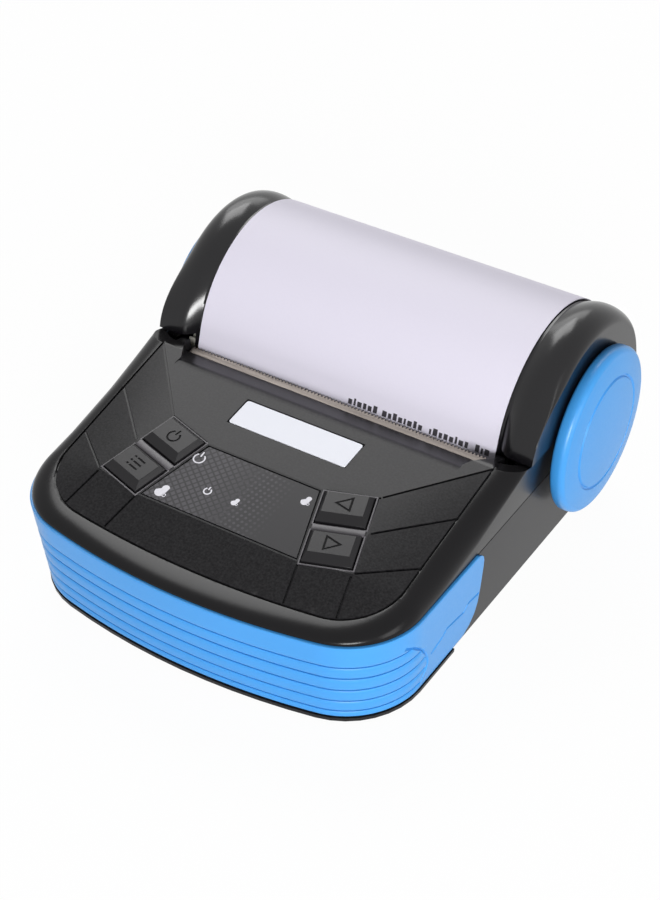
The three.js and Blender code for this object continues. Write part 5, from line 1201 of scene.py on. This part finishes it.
def thermal_paper(name, colour, wound=False):
    """Smooth coated paper, with faint fibres; the cut ends of a wound roll show its layers."""
    material, tree = empty_tree(name)
    spot = add_node(tree, "TexCoord").outputs["Object"]
    fibres = add_node(tree, "TexNoise", {"Scale": 1 / (0.6 * mm), "Detail": 4.0}, {"Vector": spot})
    dark, light = ([min(1, c * share) for c in linear(colour)[:3]] + [1] for share in (0.985, 1.01))
    tint = add_node(tree, "MixRGB", {1: dark, 2: light}, {0: fibres})
    if wound:
        # The paper is 0.06 mm thick; its layers are drawn 0.5 mm apart so that they can be seen.
        about = add_node(tree, "Mapping", {"Location": (0, -roll_centre[0] * mm, -roll_centre[1] * mm)},
                         {"Vector": spot})
        flat = add_node(tree, "VectorMath", {1: (0, 1, 1)}, {0: about}, operation="MULTIPLY")
        reach = add_node(tree, "VectorMath", links={0: flat}, operation="LENGTH")
        turn = add_node(tree, "Math", {1: math.tau / (0.5 * mm)}, {0: reach.outputs["Value"]},
                        operation="MULTIPLY")
        wave = add_node(tree, "Math", links={0: turn}, operation="SINE")
        layer = add_node(tree, "MapRange", {1: -1.0, 2: 1.0, 3: 0.12, 4: 0.0}, {0: wave})
        tint = add_node(tree, "MixRGB", {2: linear("#77747f")}, {0: layer, 1: tint})
    bump = add_node(tree, "Bump", {"Strength": 0.3, "Distance": 0.004 * mm}, {"Height": fibres})
    shell = add_node(tree, "BsdfPrincipled", {"Roughness": 0.5, "Specular IOR Level": 0.3},
                     {"Base Color": tint, "Normal": bump})
    add_node(tree, "OutputMaterial", links={"Surface": shell})
    return material


paper_half, paper_thickness, strip_lift = 39.75, 0.2, 0.35
strip_radius = cover_radius + strip_lift
strip_foot, strip_bend, climb_steps = (8.5, 26.2), (8.65, 31.3), 4
strip_from, strip_to, strip_steps = 166, 34, 88
strip_path = [lerp(strip_foot, strip_bend, k / climb_steps) for k in range(climb_steps + 1)]
for i in range(strip_steps + 1):
    turn = math.radians(lerp(strip_from, strip_to, i / strip_steps))
    strip_path.append((cover_axis_y + cover_reach(strip_radius * math.cos(turn), cover_radius),
                       cover_axis_z + strip_radius * math.sin(turn)))
near_side, far_side = [], []
for i, spot in enumerate(strip_path):
    before, after = strip_path[max(0, i - 1)], strip_path[min(len(strip_path) - 1, i + 1)]
    way = Vector((after[0] - before[0], after[1] - before[1])).normalized() * paper_thickness / 2
    near_side.append((spot[0] - way.y, spot[1] + way.x))
    far_side.append((spot[0] + way.y, spot[1] - way.x))
strip = drawn_across("paper_strip_finished", near_side + far_side[::-1], -paper_half, paper_half)
strip_paper = thermal_paper("Thermal paper", "#dad6e4")
finish(strip, "cover", "paper_strip", strip_paper, sharp=35, even=False)

# A row of short dark dashes stands for a printed line.
thermal_print = printed_ink("Thermal print", "#1f1d22", "#3d3a42", 0.25 * mm, 0.6)
print_z, dash_gap, dash_root, dash_proud = 31.8, 0.45, 0.06, 0.03
dash_widths, dash_heights = (1.0, 0.5, 1.1, 0.8, 0.95), (1.25, 1.7, 1.25, 1.4)
dash_sink = 0.005


def strip_face(height):
    """A place on the strip's outer face at a height, and the way that it leans there."""
    for (y0, z0), (y1, z1) in zip(near_side, near_side[1:]):
        if z0 <= height <= z1:
            return lerp((y0, z0), (y1, z1), (height - z0) / (z1 - z0)), (y1 - y0, z1 - z0)
    return near_side[0], (0, 1)


dashes, x = [], 1.8
for letter in range(28):
    wide, tall = dash_widths[letter % 5], dash_heights[letter % 4]
    word_gap = letter % 9 == 6
    if not word_gap:
        (y, z), lean = strip_face(print_z + tall / 2)
        mark = box("dash", (x, x + wide), (-dash_root, dash_proud), (-tall / 2, tall / 2))
        tilt = Matrix.Rotation(-math.atan2(lean[0], lean[1]), 4, "X")
        dashes.append(placed(mark, Matrix.Translation((0, y - dash_sink, z)) @ tilt))
    x += wide + dash_gap
finish(gathered(dashes, "strip_print"), "cover", None, thermal_print, even=False)

dress("paper_web", "case", strip_paper, even=False)
wound_paper = thermal_paper("Wound thermal paper", "#dad6e4", wound=True)
dress("paper_roll", "roll", wound_paper, 0.15)
# The core is dull card, a darker ring in the end of the roll.
card = moulded_plastic("Grey card tube", "#9c8e78", 0.85, 0.6 * mm, 0.03 * mm, 0.1, 0.2)
dress("roll_core", "roll", card, 0.1)

# Paper bin, cover liner and platen
# The bin under the roll and the liner inside the cover are plain black mouldings. The platen is a
# rubber sleeve on a ground steel shaft, turned by an acetal gear and carried in brass bushes.
# The plain mouldings and the rubber are dull, and turning and grinding leave the metal fine rings.
inner_black = moulded_plastic("Black ABS, plain inside", "#1c1b1d", 0.55, 0.5 * mm, 0.02 * mm, specular=0.3)
rubber = moulded_plastic("Moulded black rubber", "#171718", 0.8, 0.4 * mm, 0.03 * mm, 0.1, 0.2)
acetal = moulded_plastic("Natural acetal", "#dedbd0", 0.4, 1 * mm, 0.004 * mm, 0.03)
brass = worked_metal("Turned brass", "#bd9c55", 0.3, 0.4 * mm, (1, 0.1, 0.1))
ground_steel = worked_metal("Ground steel bar", "#b3b0ab", 0.25, 0.3 * mm, (1, 0.1, 0.1))
for node, body, slot, material, radius, steps in (
        ("paper_bin", "case", "inner_black", inner_black, 0.12, 1),
        ("cover_liner", "cover", "inner_black", inner_black, 0.12, 1),
        ("platen_roller", "platen", "black_rubber", rubber, 0.15, 2),
        ("platen_shaft", "platen", "steel", ground_steel, 0.1, 2),
        ("platen_gear", "platen", "gear_plastic", acetal, 0.05, 1),
        ("platen_bush_right", "cover", "brass", brass, 0.08, 2),
        ("platen_bush_left", "cover", "brass", brass, 0.08, 2),
        ("hinge_pin", "case", "steel", ground_steel, 0.15, 2)):
    dress(node, body, material, radius, steps)

# Print mechanism
# A folded steel frame carries the print head, a bar of glazed ceramic on an aluminium heat sink
# that two springs press on the platen, and the stepper motor with its brass pinion and two idlers.
# Extruding leaves lines along the heat sink; the plated can is duller, and the glaze is glassy.
aluminium = worked_metal("Extruded aluminium", "#b9bbbd", 0.38, 0.4 * mm)
motor_can = worked_metal("Zinc-plated motor can", "#a7a8a6", 0.42, 0.5 * mm, (0.2, 1, 1))
ceramic = moulded_plastic("Glazed alumina ceramic", "#d8d1c2", 0.15, 2 * mm, 0.002 * mm, 0.03)
for node, body, slot, material, radius, steps in (
        ("mechanism_frame", "case", "steel", steel, 0.1, 2),
        ("heat_sink", "case", "aluminium", aluminium, 0.12, 2),
        ("print_head", "case", "ceramic", ceramic, 0.06, 2),
        ("stepper_motor", "case", "steel", motor_can, 0.25, 2),
        ("head_spring_left", "case", "steel", ground_steel, 0, 2),
        ("head_spring_right", "case", "steel", ground_steel, 0, 2),
        ("paper_sensor", "case", "inner_black", inner_black, 0.1, 2),
        ("idler_gear_lower", "lower_idler", "gear_plastic", acetal, 0.05, 1),
        ("idler_gear_front", "front_idler", "gear_plastic", acetal, 0.05, 1),
        ("motor_pinion", "motor_shaft", "brass", brass, 0.04, 1)):
    dress(node, body, material, radius, steps)

# Boards, lamps and switches
# Two glass fibre boards under green solder mask carry the four key switches, the four clear lamps
# and the two sockets in the rear wall. The battery pack lies under them in blue shrink wrap.
# The mask is glossy with a faint grain, the nickel bright and even, and the wrap a little wavy.
solder_mask = moulded_plastic("Glass fibre board, solder mask", "#1d5538", 0.3, 0.9 * mm, 0.012 * mm, 0.12)
nickel = worked_metal("Nickel-plated steel", "#b8b5ae", 0.25, 0.5 * mm, (1, 1, 1))
shrink_wrap = moulded_plastic("Blue shrink wrap", "#2b4c6c", 0.28, 3 * mm, 0.04 * mm, 0.08)
# The lamps are slightly hazy, which spreads the light inside them.
lamp_clear, tree = empty_tree("Clear polycarbonate")
spot = add_node(tree, "TexCoord").outputs["Object"]
haze = add_node(tree, "TexNoise", {"Scale": 1 / (0.8 * mm)}, {"Vector": spot})
haze_rough = add_node(tree, "MapRange", {3: 0.06, 4: 0.16}, {0: haze})
lens = add_node(tree, "BsdfPrincipled", {"Base Color": linear("#eef4f2"), "IOR": 1.58,
                                         "Transmission Weight": 0.85}, {"Roughness": haze_rough})
add_node(tree, "OutputMaterial", links={"Surface": lens})
dress("control_board", "case", solder_mask)
dress("io_board", "case", solder_mask)
for key in key_slots:
    dress(f"{key}_switch", "case", nickel, 0.08)
for lamp_number in (1, 2, 3, 4):
    dress(f"status_lamp_{lamp_number}", "case", lamp_clear, 0.08)
dress("battery_pack", "case", shrink_wrap, 0.5)
dress("usb_socket", "case", nickel, 0.1)
dress("charge_socket", "case", inner_black, 0.12)

# Hatch, feet and screws
# The battery hatch drops into the floor of the tray, which stands on four rubber feet. Cross
# recess screws, zinc-plated, hold the case together, the board up and the hatch down.
dress("battery_hatch", "case", black_abs, 0.2)
for end in ("front", "rear"):
    for side in ("right", "left"):
        dress(f"{end}_foot_{side}", "case", rubber, 0.3)
# The plating gives the screws an even, pale shine.
zinc = worked_metal("Zinc-plated screw steel", "#aaa9a4", 0.34, 0.4 * mm, (1, 1, 1))


head_slack, recess_depth = 0.3 * mm, 0.8


def head_of(screw):
    """The middle and outward direction of the screw's head end, and the head's radius."""
    corners = [vert.co for vert in screw.data.vertices]
    low, high = min(c.z for c in corners), max(c.z for c in corners)
    wide = {z: max((c.xy - other.xy).length for c in corners for other in corners
                   if abs(c.z - z) < head_slack and abs(other.z - z) < head_slack) for z in (low, high)}
    z = max(wide, key=wide.get)
    end = [c for c in corners if abs(c.z - z) < head_slack]
    middle = sum(end, Vector()) / len(end)
    return Vector((middle.x, middle.y, z)) / mm, 1 if z == high else -1, wide[z] / 2 / mm


for screw in ("case_screw_front_right", "case_screw_front_left", "case_screw_rear_right",
              "case_screw_rear_left", "hatch_screw", "board_screw_1", "board_screw_2"):
    piece = node_copy(screw)
    if not screw.startswith("board"):
        spot, way, reach = head_of(piece)
        slots = [box("cross", (-long / 2, long / 2), (-wide / 2, wide / 2), (-recess_depth, recess_depth))
                 for long, wide in ((reach * 1.2, reach * 0.26), (reach * 0.26, reach * 1.2))]
        combine(slots[0], "UNION", slots[1])
        cut(piece, placed(slots[0], Matrix.Translation(spot)))
    finish(piece, "case", screw, zinc, 0.08 * mm, 1)
